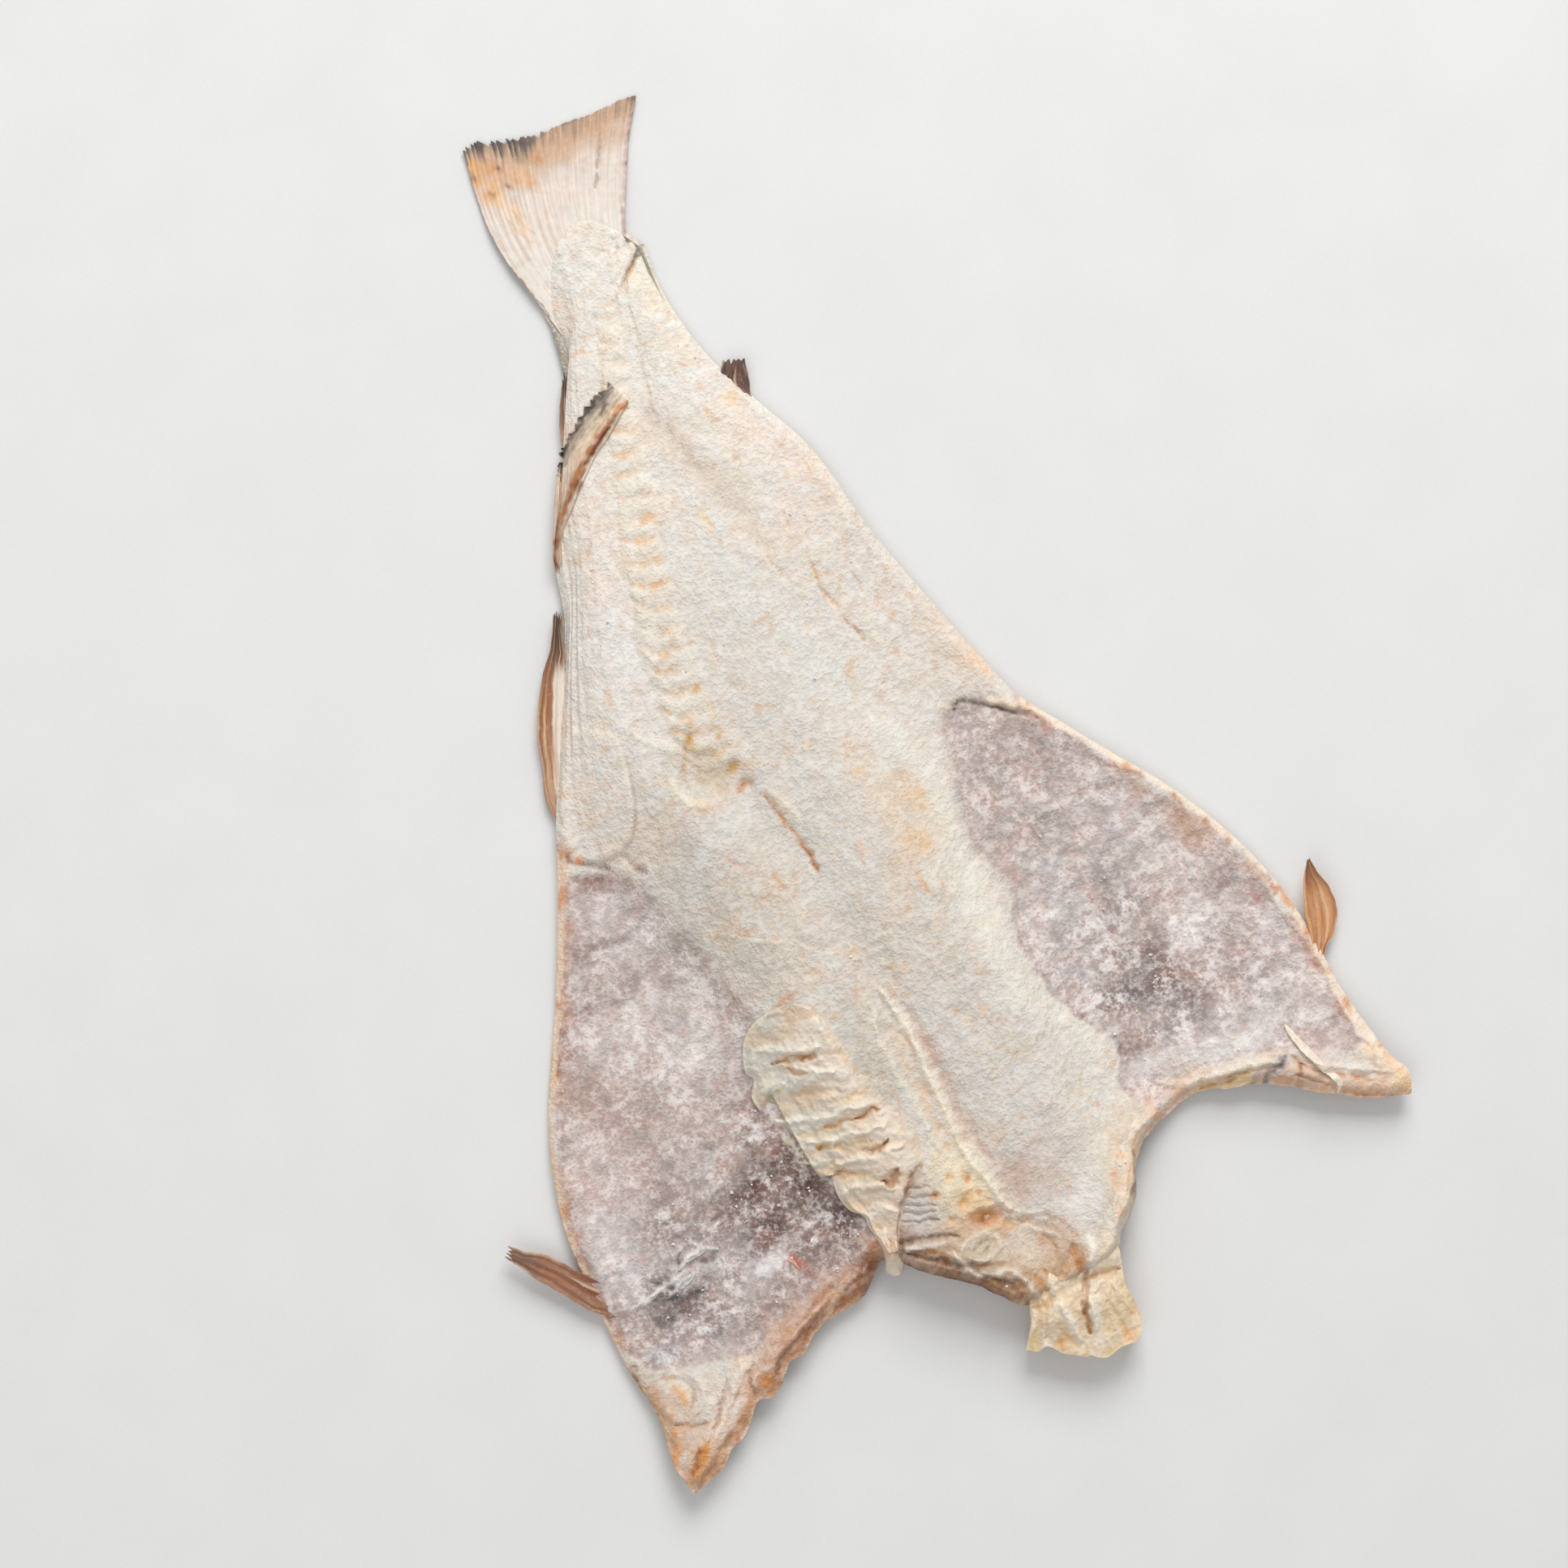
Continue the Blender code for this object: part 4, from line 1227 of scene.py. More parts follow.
# Fins: two edge curves from root to tip, heights of root and tip, rays, raggedness, colours of
# root, middle and tip
FINS = {
    "right_pectoral_fin": (
        [(180, -194), (184, -184), (187, -173), (189, -163), (192, -155), (195, -148),
         (199, -142)],
        [(186, -190), (191, -182), (196, -178), (201, -171), (203, -164), (203, -156),
         (201, -148), (200, -142)],
        4.0, 9.0, 3, 1.4, 0xD6A074, 0xDEA674, 0xAA7450),
    "left_pectoral_fin": (
        [(-166, -206), (-174, -203), (-181, -197), (-186, -190), (-192, -181), (-197, -175),
         (-202, -166), (-206, -160)],
        [(-164, -190), (-172, -187), (-178, -180), (-185, -171), (-190, -165), (-197, -161),
         (-203, -156)],
        5.0, 9.0, 3, 3.2, 0x8C5C42, 0xA4765A, 0x7A6050),
    "small_dorsal_tip": (
        [(42, 156), (44, 162), (45, 167), (49, 173)], [(53, 148), (55, 156), (57, 163),
                                                      (58, 170)],
        3.6, 5.0, 4, 1.6, 0x84685E, 0x5C4E4A, 0x544C4A),
    "left_anal_fin": (
        [(-104, 10), (-106, 22), (-101, 38), (-97, 53), (-90, 66), (-84, 76), (-77, 84),
         (-72, 92), (-68, 99)],
        [(-92, 8), (-94, 22), (-89, 38), (-84, 50), (-80, 59), (-76, 69), (-72, 79), (-68, 90),
         (-65, 97)],
        4.2, 5.5, 4, 3.0, 0xD6B292, 0xB07C58, 0x62544C),
    "left_sliver_fin": (
        [(-35, 164), (-31, 176), (-26, 186), (-21, 195)],
        [(-27, 166), (-24, 178), (-21, 188), (-19, 195)],
        4.0, 5.0, 2, 2.0, 0xCCB09C, 0x7C6860, 0x5A504C),
}
# Dorsal fins pressed flat under the skin side, by their shares along the spine
DORSAL_FINS = [(0.3, 0.4), (0.47, 0.6), (0.66, 0.76)]
# Marks on the folded fin, as draw takes them
FOLD_MARKS = [
    ([(-39, 160), (-26, 171), (-11, 179), (-2, 182)], 2.6, 0.2, 0x60564E),
    ([(-2, 182), (-11, 174)], 2, 0, 0x706258, 0.8),
    ([(-36, 158), (-28, 165), (-8, 175)], 1.2, -0.4, 0x94826C, 0.7),
    ([(2, 174), (-22, 160), (-43, 142), (-55, 127), (-58, 118)], 1.7, 1.3, 0xB0744A, 1),
    ([(0, 173), (-6, 170)], 1.8, 0.4, 0xD29260),
    ([(-10, 166), (-27, 155)], 1.2, 0.3, 0x7A4222),
    ([(-28, 153), (-33, 147), (-43, 130)], 1.1, 0.4, 0xA87458, 0.8),
    ([(-33, 150), (-41, 143)], 1, 0, 0x8C5432, 0.7),
    ([(-6, 173), (-22, 164), (-30, 157)], 1.4, 0.3, 0xE2C6A0, 0.7),
]


def rays(u, count):
    """Return the ridges of fin rays across a fin, from 0 to 1."""
    return 0.5 + 0.5 * np.cos(2 * math.pi * count * u)


class AddTailFin(bpy.types.Operator):
    """Add the tail fin: forked rays, an orange side and a dark frayed edge"""

    bl_idname = "cod.add_tail_fin"
    bl_label = "Tail fin"
    RAYS = 17

    def execute(self, context):
        strip = Strip("tail_fin", TAIL_LEFT, TAIL_RIGHT, 230, 150, TAIL_EDGE, 0.2, wall=1)
        u, v = strip.u, strip.v
        count = self.RAYS
        bent = u + 0.012 * noise(stretch(u * 40, v * 30, 3), 5, 21)
        far = smooth((v - 0.5) / 0.2)
        ridge = rays(bent, count) * (1 - far) + rays(bent, 2 * count) * far
        lines = stretch(bent * 400, v * 14)
        fray = 0.6 * noise(lines, 7.0, 5) + 0.6 * noise(lines, 3.0, 7)
        side = smooth((0.5 - u) / 0.2)
        depth = (0.7 + 2.2 * side) * smooth((v - 0.9) / 0.1)
        strip.spots[:, 1] += depth * (fray - 0.1)
        strip.spots[:, 0] -= 0.5 * depth * fray
        height = 1.7 + 1.9 * smooth((0.76 - v) / 0.3) + 0.4 * rough(strip.spots, 9, 17)
        lined = (0.3 + 0.7 * side) * smooth((v - 0.3) / 0.2) + 0.5 * smooth((v - 0.8) / 0.2)
        height += 0.22 * ridge * lined
        thick = 1.2 * (1 - 0.5 * smooth((v - 0.7) / 0.3))

        paint = Paint(strip.spots, 0xE3D8CF, 0.35)
        paint.wash(smooth((0.62 - v) / 0.2) * 0.8, 0xEAE4DB, 0.45)
        paint.speckle(12, 27, 1.6, 0, 0.3, 0xE6D0C6)
        paint.speckle(5, 29, 2, -0.3, 0.35, 0xD6C0B0)
        band = smooth((v - 0.72 - 0.06 * noise(strip.spots, 7, 3)) / 0.2)
        paint.wash(band * 0.85, 0xCCA480, 0.15)
        height += draw(strip.spots, TAIL_MARKS, paint, 0.9)
        groove = (1 - ridge) ** 2 * smooth(0.7 + fray)
        paint.wash(groove * lined * 0.4 * (1 - 0.6 * band), 0xC49C7C)
        paint.wash(groove * smooth((v - 0.8) / 0.2) * 0.3, 0x967A66)
        tips = smooth((v - 0.9 + 0.04 * fray) / 0.08)
        paint.wash(tips * smooth(fray * 2 + 0.6) * (0.3 + 0.6 * side), 0x585050, 0.05)
        paint.wash(tips * smooth(-fray * 3) * 0.5 * side, 0xC4B096, 0.05)
        strip.build(height, thick, paint, "dried_fin")
        return {"FINISHED"}


class AddFins(bpy.types.Operator):
    """Add the loose fins along the edges, the folded one and the ones under the fish"""

    bl_idname = "cod.add_fins"
    bl_label = "Fins"

    def execute(self, context):
        for seed, (name, facts) in enumerate(FINS.items()):
            self.add_fin(name, seed, *facts)
        self.add_folded_fin()
        for number, (start, end) in enumerate(DORSAL_FINS):
            self.add_dorsal_fin(number, start, end)
        return {"FINISHED"}

    def add_fin(self, name, seed, left, right, root, tip, count, ragged, *shades):
        """Add one fin that sticks out past the edge."""
        strip = Strip(name, left, right, 14 * count, 44, bulge=0.2)
        u, v = strip.u, strip.v
        bent = u + 0.05 * noise(stretch(u * 10, v * 20, 3), 6, seed + 7)
        ridge = rays(bent, count)
        run = strip.left.at(1.0) - strip.left.at(0.8)
        run = run / np.linalg.norm(run)
        fray = 0.7 * ridge - 0.4 + 0.5 * noise(stretch(u * 40, v * 0), 4, seed)
        strip.spots += run * (ragged * fray * smooth((v - 0.7) / 0.3))[:, None]
        strip.spots += 0.5 * stretch(rough(strip.spots, 5, seed), rough(strip.spots, 4, 40))
        height = root + (tip - root) * v + 0.8 * ridge * (1 - 0.3 * v)
        height += 0.6 * noise(stretch(u * 30, v * 40, 3), 8, seed)
        thick = 1.8 - 0.9 * v
        paint = Paint(strip.spots, shades[0], 0.25)
        paint.wash(smooth((v - 0.1) / 0.5), shades[1], 0.15)
        paint.wash(smooth((v - 0.62) / 0.3), shades[2], 0.05)
        streak = noise(stretch(u * 44, v * 60, 5), 4, seed + 3)
        paint.wash((1 - ridge) ** 2 * smooth(0.6 + streak) * 0.7, 0x7C4A32, 0.05)
        paint.wash(smooth(streak * 2 - 0.2) * ridge * 0.6, 0xF0D0AA, 0.2)
        paint.wash(smooth(-streak * 2 - 0.5) * 0.6, 0x965C3E, 0.05)
        paint.wash(hump(v - 1, 0.12) * smooth(fray * 2) * 0.5, 0x605046, 0.05)
        if name == "left_anal_fin":
            # The flesh reaches over all but its outer edge
            paint.wash(smooth((u - 0.4 + 0.15 * streak) / 0.25) * smooth((0.8 - v) / 0.1),
                       0xECE1D3, 0.3)
        strip.build(height, thick, paint, "dried_fin")

    def add_folded_fin(self):
        """Add the anal fin that is folded over onto the flesh."""
        ground = Ground("flesh")
        strip = Strip("folded_anal_fin",
                      [(-60, 116), (-56, 127), (-51, 137), (-46, 147), (-40, 157), (-34, 165),
                       (-27, 171), (-20, 176), (-12, 180), (-2, 184)],
                      [(-56, 116), (-52, 127), (-47, 134), (-41, 139), (-34, 146), (-27, 152),
                       (-20, 158), (-13, 162), (-6, 167), (2, 173)], 72, 150, bulge=0.3)
        u, v, spots = strip.u, strip.v, strip.spots
        lines = stretch(u * 8, v * 150)
        fray = noise(lines, 3.4, 5) + 0.6 * noise(lines, 1.5, 6)
        rim = smooth((0.22 - u) / 0.22) * smooth((v - 0.42) / 0.1)
        spots += np.array([-0.66, 0.75]) * (1.5 * fray * rim)[:, None]
        height = ground.height(spots, 7.0) + 0.9 + 0.5 * rays(u + 0.02 * fray, 5)
        height += 0.4 * rough(spots, 5, 9) - 1.3 * smooth((0.1 - v) / 0.1)
        paint = Paint(spots, 0xDCCCBA, 0.3)
        paint.wash(smooth(noise(stretch(u * 60, v * 40), 6, 8) * 2) * 0.5, 0xB89E82, 0.1)
        paint.speckle(8, 12, 2, 0, 0.5, 0xE8D0BC, 0.3)
        height += draw(spots, FOLD_MARKS, paint, 0.7)
        paint.wash(rim * smooth(fray * 2 + 0.3) * 0.8, 0x4C4440, 0.05)
        strip.build(height, 1.6, paint, "dried_fin")

    def add_dorsal_fin(self, number, start, end):
        """Add one dorsal fin that lies flat under the back."""
        shares = np.linspace(start, end, 8)
        root = SPINE.at(shares) + np.array([2.0, 0.0])
        tip = SPINE.at(shares - 0.02) + np.array([20.0, 0.0])
        tip[:, 0] += 5.0 * np.sin(np.linspace(0, math.pi, 8))
        strip = Strip(f"dorsal_fin_{number + 1}", root, tip, 30, 70, bulge=0.0, wall=1, under=3)
        u, v = strip.u, strip.v
        ridge = rays(v, 9)
        height = 1.0 - 0.25 * ridge - 0.2 * u
        paint = Paint(strip.spots, 0x766856, 0.2)
        paint.wash((1 - ridge) * 0.5, 0x52463A, 0.1)
        paint.wash(smooth((u - 0.6) / 0.4) * 0.6, 0x4C443E, 0.1)
        strip.build(height, 0.8, paint, "dried_fin")


# ---- The cut nape and the belly flaps' ends, in finer relief ----

# Marks, as draw takes them
NAPE_MARKS = [
    ((-26, -216), (9, 8, 40), 0, 0xCEC2B6),
    ((-29, -198), (8, 6), 0, 0xC4A488),
    ((-24, -206), (3, 5, 30), -0.4, 0xA6866C, 0.8),
    ((-8, -196), (6, 7), 0.3, 0xE4D0B4, 0.8),
    ((-4, -222), (9, 8), 0.4, 0xDEB080),
    ((-6, -212), (8, 7), 0.6, 0xE6CEA6, 0.8),
    ((-16, -231), (13, 6, -34), 0, 0xC6A280),
    ((-40, -222), (6, 8), -0.4, 0x8E5E3E, 0.95),
    ((-22, -240), (18, 6, -38), -0.4, 0x92643E, 0.95),
    ((-8, -258), (16, 5, -45), -0.6, 0x7A502E, 1),
    ((0, -264), (6, 11, -20), -0.4, 0xAA7C50),
    ((21, -264), (15, 10), -0.4, 0xD4B08A),
    ((24, -250), (9, 7), -0.3, 0xCEAE94),
    ((20, -219), (9, 9), -0.3, 0xCCB2A2),
    ((34, -228), (9, 6), -0.3, 0xD6C4B4, 0.8),
    ((-1, -229), (7.5, 4.6), -1.8, 0xC4701A, 1),
    ((1, -230), (4, 2.2), -1, 0x945214, 1),
    ([(-10, -226), (-3, -224), (6, -225)], 1.6, 0.8, 0xECCEA2),
    ([(-9, -233), (0, -235), (7, -233)], 1.4, 0.8, 0xE2C498, 0.8),
    ((-6, -212), (14, 15), 1, 0xF0DEB8),
    ([(-9, -122), (-11, -142), (-7, -194)], 1.6, 0.9, 0xEEE4CE, 0.7),
    ([(-5, -132), (-4, -182)], 2.6, -0.5, 0xDEC2A0, 0.7),
    ([(5, -126), (7, -142), (9, -190), (13, -206)], 2.8, -1, 0xCEB0A0, 0.8),
    ([(-2, -116), (2, -143), (3, -195), (11, -231)], 2.3, 2.3, 0xF4E8D2, 0.95),
    ([(-1, -140), (0, -152)], 1, -0.6, 0xE2B68C, 0.8),
    ((-2, -166), (1.4, 3), -0.6, 0xE0B48C, 0.8),
    ((-4, -184), (2, 2.6), -0.9, 0xDEB084, 0.8),
    ((-3, -193), (1.4, 2.4), -0.6, 0xD8AC78, 0.8),
    ((-26, -214), (10, 12, 40), 0, 0xD0CAC4),
    ([(-28, -203), (-18, -206)], 0.7, -0.9, 0x968278, 0.6),
    ([(-30, -206), (-17, -211)], 0.7, -0.9, 0x927C72, 0.6),
    ([(-32, -209), (-18, -215)], 0.7, -0.9, 0x9C8478, 0.6),
    ([(-34, -212), (-20, -218)], 0.7, -0.9, 0x8C7468, 0.6),
    ([(-36, -216), (-20, -222)], 0.8, -1, 0x887062, 0.7),
    ([(-40, -228), (-30, -232), (-11, -245), (-2, -253), (5, -262)], 4, 2.2, 0xC4AC92, 0.85),
    ([(-40, -230), (-22, -243), (-4, -259), (1, -268)], 1.2, -1.2, 0x704A2A),
    ([(-36, -228), (-27, -231), (-8, -243)], 0.9, -0.8, 0xA88666, 0.8),
    ([(-12, -250), (2, -262), (4, -270)], 1.4, 0.8, 0xDABC98, 0.8),
    ([(12, -236), (18, -242), (22, -250), (22, -258)], 0.9, -0.9, 0xBC926A, 0.8),
    ([(24, -238), (30, -245), (34, -254)], 0.9, -0.8, 0xC6A07C, 0.7),
    ([(14, -262), (16, -268), (15, -274)], 1.1, -1, 0xB88858, 0.8),
    ([(-40, -224), (-30, -226), (-15, -232)], 1.1, -1.6, 0x886854, 0.8),
    ([(-40, -227), (-21, -232)], 1.2, 0.7, 0xE4DCD4, 0.8),
    ((-8, -240), (8, 5.5, -40), 0.8, 0xCCBEA6),
    ([(-16, -238), (-12, -235), (-5, -235), (1, -240), (-1, -245), (-8, -246), (-14, -243)], 0.9,
     0.8, 0xE8DECE, 0.8),
    ([(-12, -240), (-7, -238), (-3, -241), (-8, -243)], 0.8, -0.8, 0x967C5C, 0.7),
    ([(-19, -237), (-19, -243), (-16, -249), (-9, -253), (1, -256), (8, -272)], 1.4, 1.2,
     0xF0E4D0),
    ([(-24, -235), (-37, -231)], 2, -1, 0x96683E),
    ([(-23, -239), (-27, -238)], 2.6, -0.8, 0x8C5A30),
    ([(-15, -245), (-8, -249), (0, -251)], 1.2, -1.2, 0x9E7446, 0.8),
    ([(-41, -236), (-9, -261), (-3, -268)], 2.8, 0, 0xB68450),
    ([(-44, -232), (-37, -240), (-14, -258), (-2, -274)], 2.2, -0.8, 0x6C4422, 1),
    ([(0, -259), (3, -266), (2, -274)], 1.4, -1.4, 0xA87440, 0.8),
    ([(10, -262), (11, -268), (9, -275)], 1.5, -1, 0xBE8C56, 0.8),
    ((24, -246), (5, 3, 20), -0.7, 0xBE8A5C, 0.8),
    ([(30, -256), (31, -262), (29, -268)], 2.6, -1.4, 0xBA7C42, 0.95),
    ((21, -265), (4, 4), -0.5, 0xD6B080, 0.8),
    ((12, -254), (5, 4), 0.3, 0xEEDCC0, 0.7),
    ([(14, -240), (27, -250)], 1, 0.8, 0xF2E8D8, 0.8),
    ([(38, -256), (37, -263), (34, -270)], 2.6, 1.5, 0xF6F0E4, 1),
    ([(31, -271), (47, -276)], 1.3, -1, 0xC69A66),
    ((16, -214), (4, 3, 20), -0.5, 0xCEB4A6, 0.8),
    ((20, -226), (5, 4, 30), -0.6, 0xD0B6A8, 0.8),
    ((28, -212), (4, 5, 30), -0.4, 0xD4BCB0, 0.7),
    ((38, -222), (6, 4), -0.4, 0xD6C4B8, 0.7),
    ((46, -238), (8, 12), 0, 0xEAE4DE, 0.8),
    ([(12, -232), (20, -236), (28, -236)], 1, 0.7, 0xF0E6D6, 0.8),
    ([(92, -217), (80, -221), (71, -229), (58, -249), (42, -266)], 6.5, 0.6, 0xF0DEC4, 0.85),
    ([(86, -219), (76, -225), (62, -245)], 1, -0.9, 0xDEB488, 0.8),
    ([(78, -217), (68, -226), (53, -250)], 1, 0.9, 0xF4EADA, 0.8),
    ((60, -237), (2, 5, -20), -0.6, 0xE4A470),
    ((56, -251), (1.8, 3), -0.4, 0xE6AC7A, 0.8),
    ((66, -228), (2, 3), 0, 0xE6B68C, 0.7),
    ([(73, -229), (68, -241)], 0.9, -0.5, 0xA8744E, 0.8),
    ((85, -224), (5, 2, -30), 0, 0xD68254, 0.7),
    ((-8, -206), (1.6, 1.6), -1, 0xE2B270, 0.8),
    ((-1, -209), (1.6, 2.6), -1.8, 0xCC883C, 1),
    ((-17, -211), (2.6, 2.2, 20), -1.6, 0xC48854),
    ((-6, -218), (4.4, 2.8, 30), -2.2, 0xDC9C42, 1),
    ((1, -218), (1.4, 1.4), -1.2, 0xD2924A),
    ((-15, -224), (2.6, 1.8), -1.2, 0xDEAA60, 0.8),
    ((0, -229), (6.4, 3.4, -24), -2.4, 0xCE8228, 1),
    ((-4, -230), (3, 1.6, -24), -0.8, 0x965418),
    ((9, -236), (5, 2, -40), -1, 0xD6A874, 0.8),
    ((17, -238), (3, 2, -40), -0.8, 0xCEA06E, 0.8),
]
LEFT_FLAP_MARKS = [
    ([(-51, -221), (-60, -230), (-110, -247), (-121, -255)], 7, 1.4, 0xAE7A58, 1),
    ([(-56, -222), (-70, -228), (-86, -231), (-112, -242)], 2.2, 0.9, 0xBE9A86),
    ((-56, -229), (4.5, 5), -0.8, 0x764420, 1),
    ((-70, -238), (9, 3.4, 10), -0.2, 0xA86C44, 0.95),
    ((-92, -243), (10, 3.6, 14), 0.2, 0xAA7A5C),
    ((-104, -238), (7, 4, 14), 0.3, 0xCAA890),
    ((-122, -255), (9, 6, 30), 0.2, 0xBE8C64),
    ([(-60, -234), (-68, -241), (-80, -244)], 1.2, -0.9, 0x805030, 0.8),
    ([(-74, -231), (-98, -240)], 0.8, -0.8, 0x8E6046, 0.8),
    ([(-66, -229), (-90, -238), (-102, -244)], 0.9, 0.7, 0xD4AC8E, 0.8),
    ([(-52, -228), (-64, -238)], 2, -0.6, 0x885834),
    ([(-66, -240), (-84, -243)], 1.4, 0.5, 0xD4A67A, 0.8),
    ([(-62, -232), (-72, -236)], 1.4, -0.9, 0x965C3E, 0.8),
    ([(-88, -240), (-103, -248)], 1.6, -1, 0x9C6448, 0.8),
    ((-102, -242), (5, 3, 20), 0.6, 0xD8A888, 0.8),
    ([(-104, -247), (-110, -250), (-116, -256)], 1.5, -1.3, 0x7A4C2E),
    ((-113, -246), (6, 4, 30), 0.8, 0xE0BEAA),
    ((-120, -258), (4.6, 3.6, 20), 0.8, 0xDC8A3C, 1),
    ((-116, -260), (2.4, 1.6), -0.6, 0x965A28),
    ([(-115, -252), (-121, -252), (-127, -256)], 1.4, 0.8, 0xF0D6C2, 0.8),
    ([(-124, -247), (-128, -254), (-128, -261)], 1.2, -1.2, 0xB0744C),
    ([(-128, -244), (-134, -253), (-168, -286)], 5, 1.9, 0xF0DECE, 0.95),
    ([(-128, -250), (-145, -267)], 0.9, -0.9, 0xD6B096, 0.8),
    ([(-134, -249), (-152, -268)], 0.9, -0.7, 0xDCBCA6, 0.7),
    ([(-137, -250), (-156, -273)], 1, -1.3, 0xA68C80, 0.7),
    ((-146, -275), (4, 2.6, 20), 0.3, 0xD89870, 0.8),
    ((-134, -266), (3, 3), 0, 0xE2AC86, 0.7),
    ((-155, -283), (4, 2, 30), 0, 0xDEA476, 0.8),
    ((-146, -240), (16, 6, 20), 0, 0xD6CEC8, 0.8),
    ((-159, -246), (6, 7), 0.3, 0xE6D6BE),
    ((-159, -248), (1.8, 5.5, 10), 0.4, 0xE6A454, 0.95),
    ([(-168, -234), (-159, -236), (-152, -241), (-149, -248), (-152, -255), (-158, -259)], 1.1,
     0.9, 0xE8DACC, 0.8),
    ([(-165, -238), (-158, -240), (-154, -245), (-154, -251), (-158, -256)], 0.9, -0.7, 0xBE9C80,
     0.7),
    ([(-176, -228), (-173, -246), (-169, -255)], 1.3, -0.5, 0x865434),
    ([(-171, -240), (-169, -250), (-165, -258)], 1.6, 0.6, 0xE2B088, 0.8),
    ([(-166, -259), (-160, -263), (-153, -264)], 1, -1.5, 0x8C664C),
    ((-164, -266), (9, 18, 10), 0, 0xCEA682),
    ((-172, -252), (6, 14), 0, 0xC69C76),
    ((-160, -278), (9, 7, 40), 0, 0xD8A470),
    ((-162, -268), (4, 4), 0, 0xDAC8BE, 0.7),
    ([(-167, -261), (-174, -279), (-174, -287)], 1.7, 0.7, 0xE2984E, 0.95),
    ([(-156, -272), (-171, -287)], 2.4, -0.4, 0xD68A3A, 0.95),
    ([(-160, -273), (-169, -284)], 1, -0.6, 0xA4622C, 0.8),
    ([(-152, -196), (-143, -203)], 1.6, -1.5, 0x605454, 0.95),
    ([(-152, -204), (-145, -208), (-137, -210), (-130, -209)], 2.2, -1.5, 0x5E5454, 0.95),
    ([(-134, -189), (-137, -194)], 1.4, -1.3, 0x645654, 0.95),
    ([(-127, -197), (-121, -198)], 1.6, -1, 0x706260),
    ((-149, -214), (6, 3.4, 20), -0.8, 0x685C5E, 0.8),
    ((-127, -204), (3, 2, 20), -0.8, 0x6E6262, 0.8),
    ((-134, -203), (4.4, 2.2, 24), 1.4, 0xCECCCC, 1),
    ((-123, -201), (2.8, 3.2, 24), 1, 0xC4BEBE),
    ([(-163, -204), (-133, -198)], 1.3, 1.6, 0xECE9E7, 1),
    ([(-146, -206), (-140, -202), (-132, -200)], 1, 1.2, 0xE6E3E1),
    ([(-138, -196), (-131, -193), (-124, -192), (-117, -194)], 1.3, 1.4, 0xECE9E7, 1),
    ([(-118, -196), (-117, -202), (-120, -207)], 1, 1.2, 0xE2DEDC),
    ((-74, -194), (1.6, 1.4), 0.8, 0xDED6AA),
    ([(-88, -210), (-84, -221)], 1.5, 0.7, 0xC45E42, 0.95),
    ([(-91, -208), (-89, -214), (-89, -220)], 0.8, 1, 0xECDED6, 0.8),
    ((-99, -211), (9, 3, 24), 0.8, 0xECE8E6),
    # Painted shadow in the gap beside the swim bladder's lower left edge
    ([(-58, -200), (-49, -210)], 1.6, -0.8, 0x54423C, 0.8),
]
RIGHT_FLAP_MARKS = [
    ((98, -197), (14, 6), 0.4, 0xDED6D1),
    ((144, -222), (10, 5, 10), 0, 0xAC968A),
    ((158, -229), (9, 4, 30), 0, 0xBA8A6E, 0.95),
    ((116, -211), (14, 3.4), 0, 0xDAC0AA, 0.8),
    ((136, -218), (9, 3, 8), 0, 0xD6B892, 0.8),
    ((176, -245), (9, 3.4, 30), 0, 0xD6A884),
    ([(96, -206), (107, -212), (140, -216), (150, -220)], 2, 1.3, 0xF0E6D4, 0.95),
    ([(106, -217), (116, -217), (135, -221)], 2.4, -0.2, 0xEACA90, 0.95),
    ([(112, -216), (130, -219)], 0.8, -0.8, 0xB68242, 0.8),
    ([(121, -216), (141, -219)], 0.8, -0.8, 0xBE884A, 0.8),
    ([(133, -225), (141, -224), (153, -218)], 2, -0.3, 0x5C585A, 1),
    ((116, -206), (10, 4), 0.4, 0xE8E2DE, 0.8),
    ((134, -206), (14, 5, -6), 0.6, 0xEAE5E1),
    ((150, -200), (8, 6, 30), 0.5, 0xE4DEDC, 0.8),
    ((100, -214), (7, 5), 0, 0xD0B8AE, 0.8),
    ([(152, -224), (160, -230), (166, -238), (190, -252)], 4.6, 0.6, 0xE2BC9E, 0.95),
    ([(154, -228), (168, -240)], 1, -0.9, 0xB0704C),
    ([(158, -225), (166, -232), (187, -246)], 0.9, -0.8, 0xCE9270, 0.8),
    ([(170, -243), (190, -254)], 0.9, -0.7, 0xC68054, 0.8),
    ([(164, -227), (195, -245)], 1.3, 1, 0xF0E2D4),
    ([(156, -219), (158, -226), (155, -230)], 1.2, -0.6, 0x96604C, 0.8),
    ((172, -226), (9, 5, 20), 0, 0xDED0CC, 0.8),
    ((199, -250), (5, 7, 20), 0.4, 0xF0C486),
    ([(186, -228), (199, -243)], 2.6, 0.4, 0xF2D8BA),
    ([(126, -44), (141, -69)], 1.4, 0.5, 0xEED4BA, 0.8),
]
# Fine pieces: sides as shares across and along, columns, rows, marks, rise and push of the
# rim, and the colours of the wall, also painted as shade into the fold hollows near the cut,
# and of the stains
DETAILS = {
    "nape": ((-0.4, 0.44, 0.66, 1.0), 190, 210, NAPE_MARKS, 0.4, 1.2,
             0x7C5232, 0xC48C54),
    "left_flap_end": ((-1.0, -0.34, 0.8, 1.0), 150, 140, LEFT_FLAP_MARKS, 0.3, 1.3,
                      0xB07A50, 0xDE9E68),
    "right_flap_end": ((0.38, 1.0, 0.78, 1.0), 140, 130, RIGHT_FLAP_MARKS, 0.3, 1.0,
                       0xE4C2A4, 0xECB88C),
}


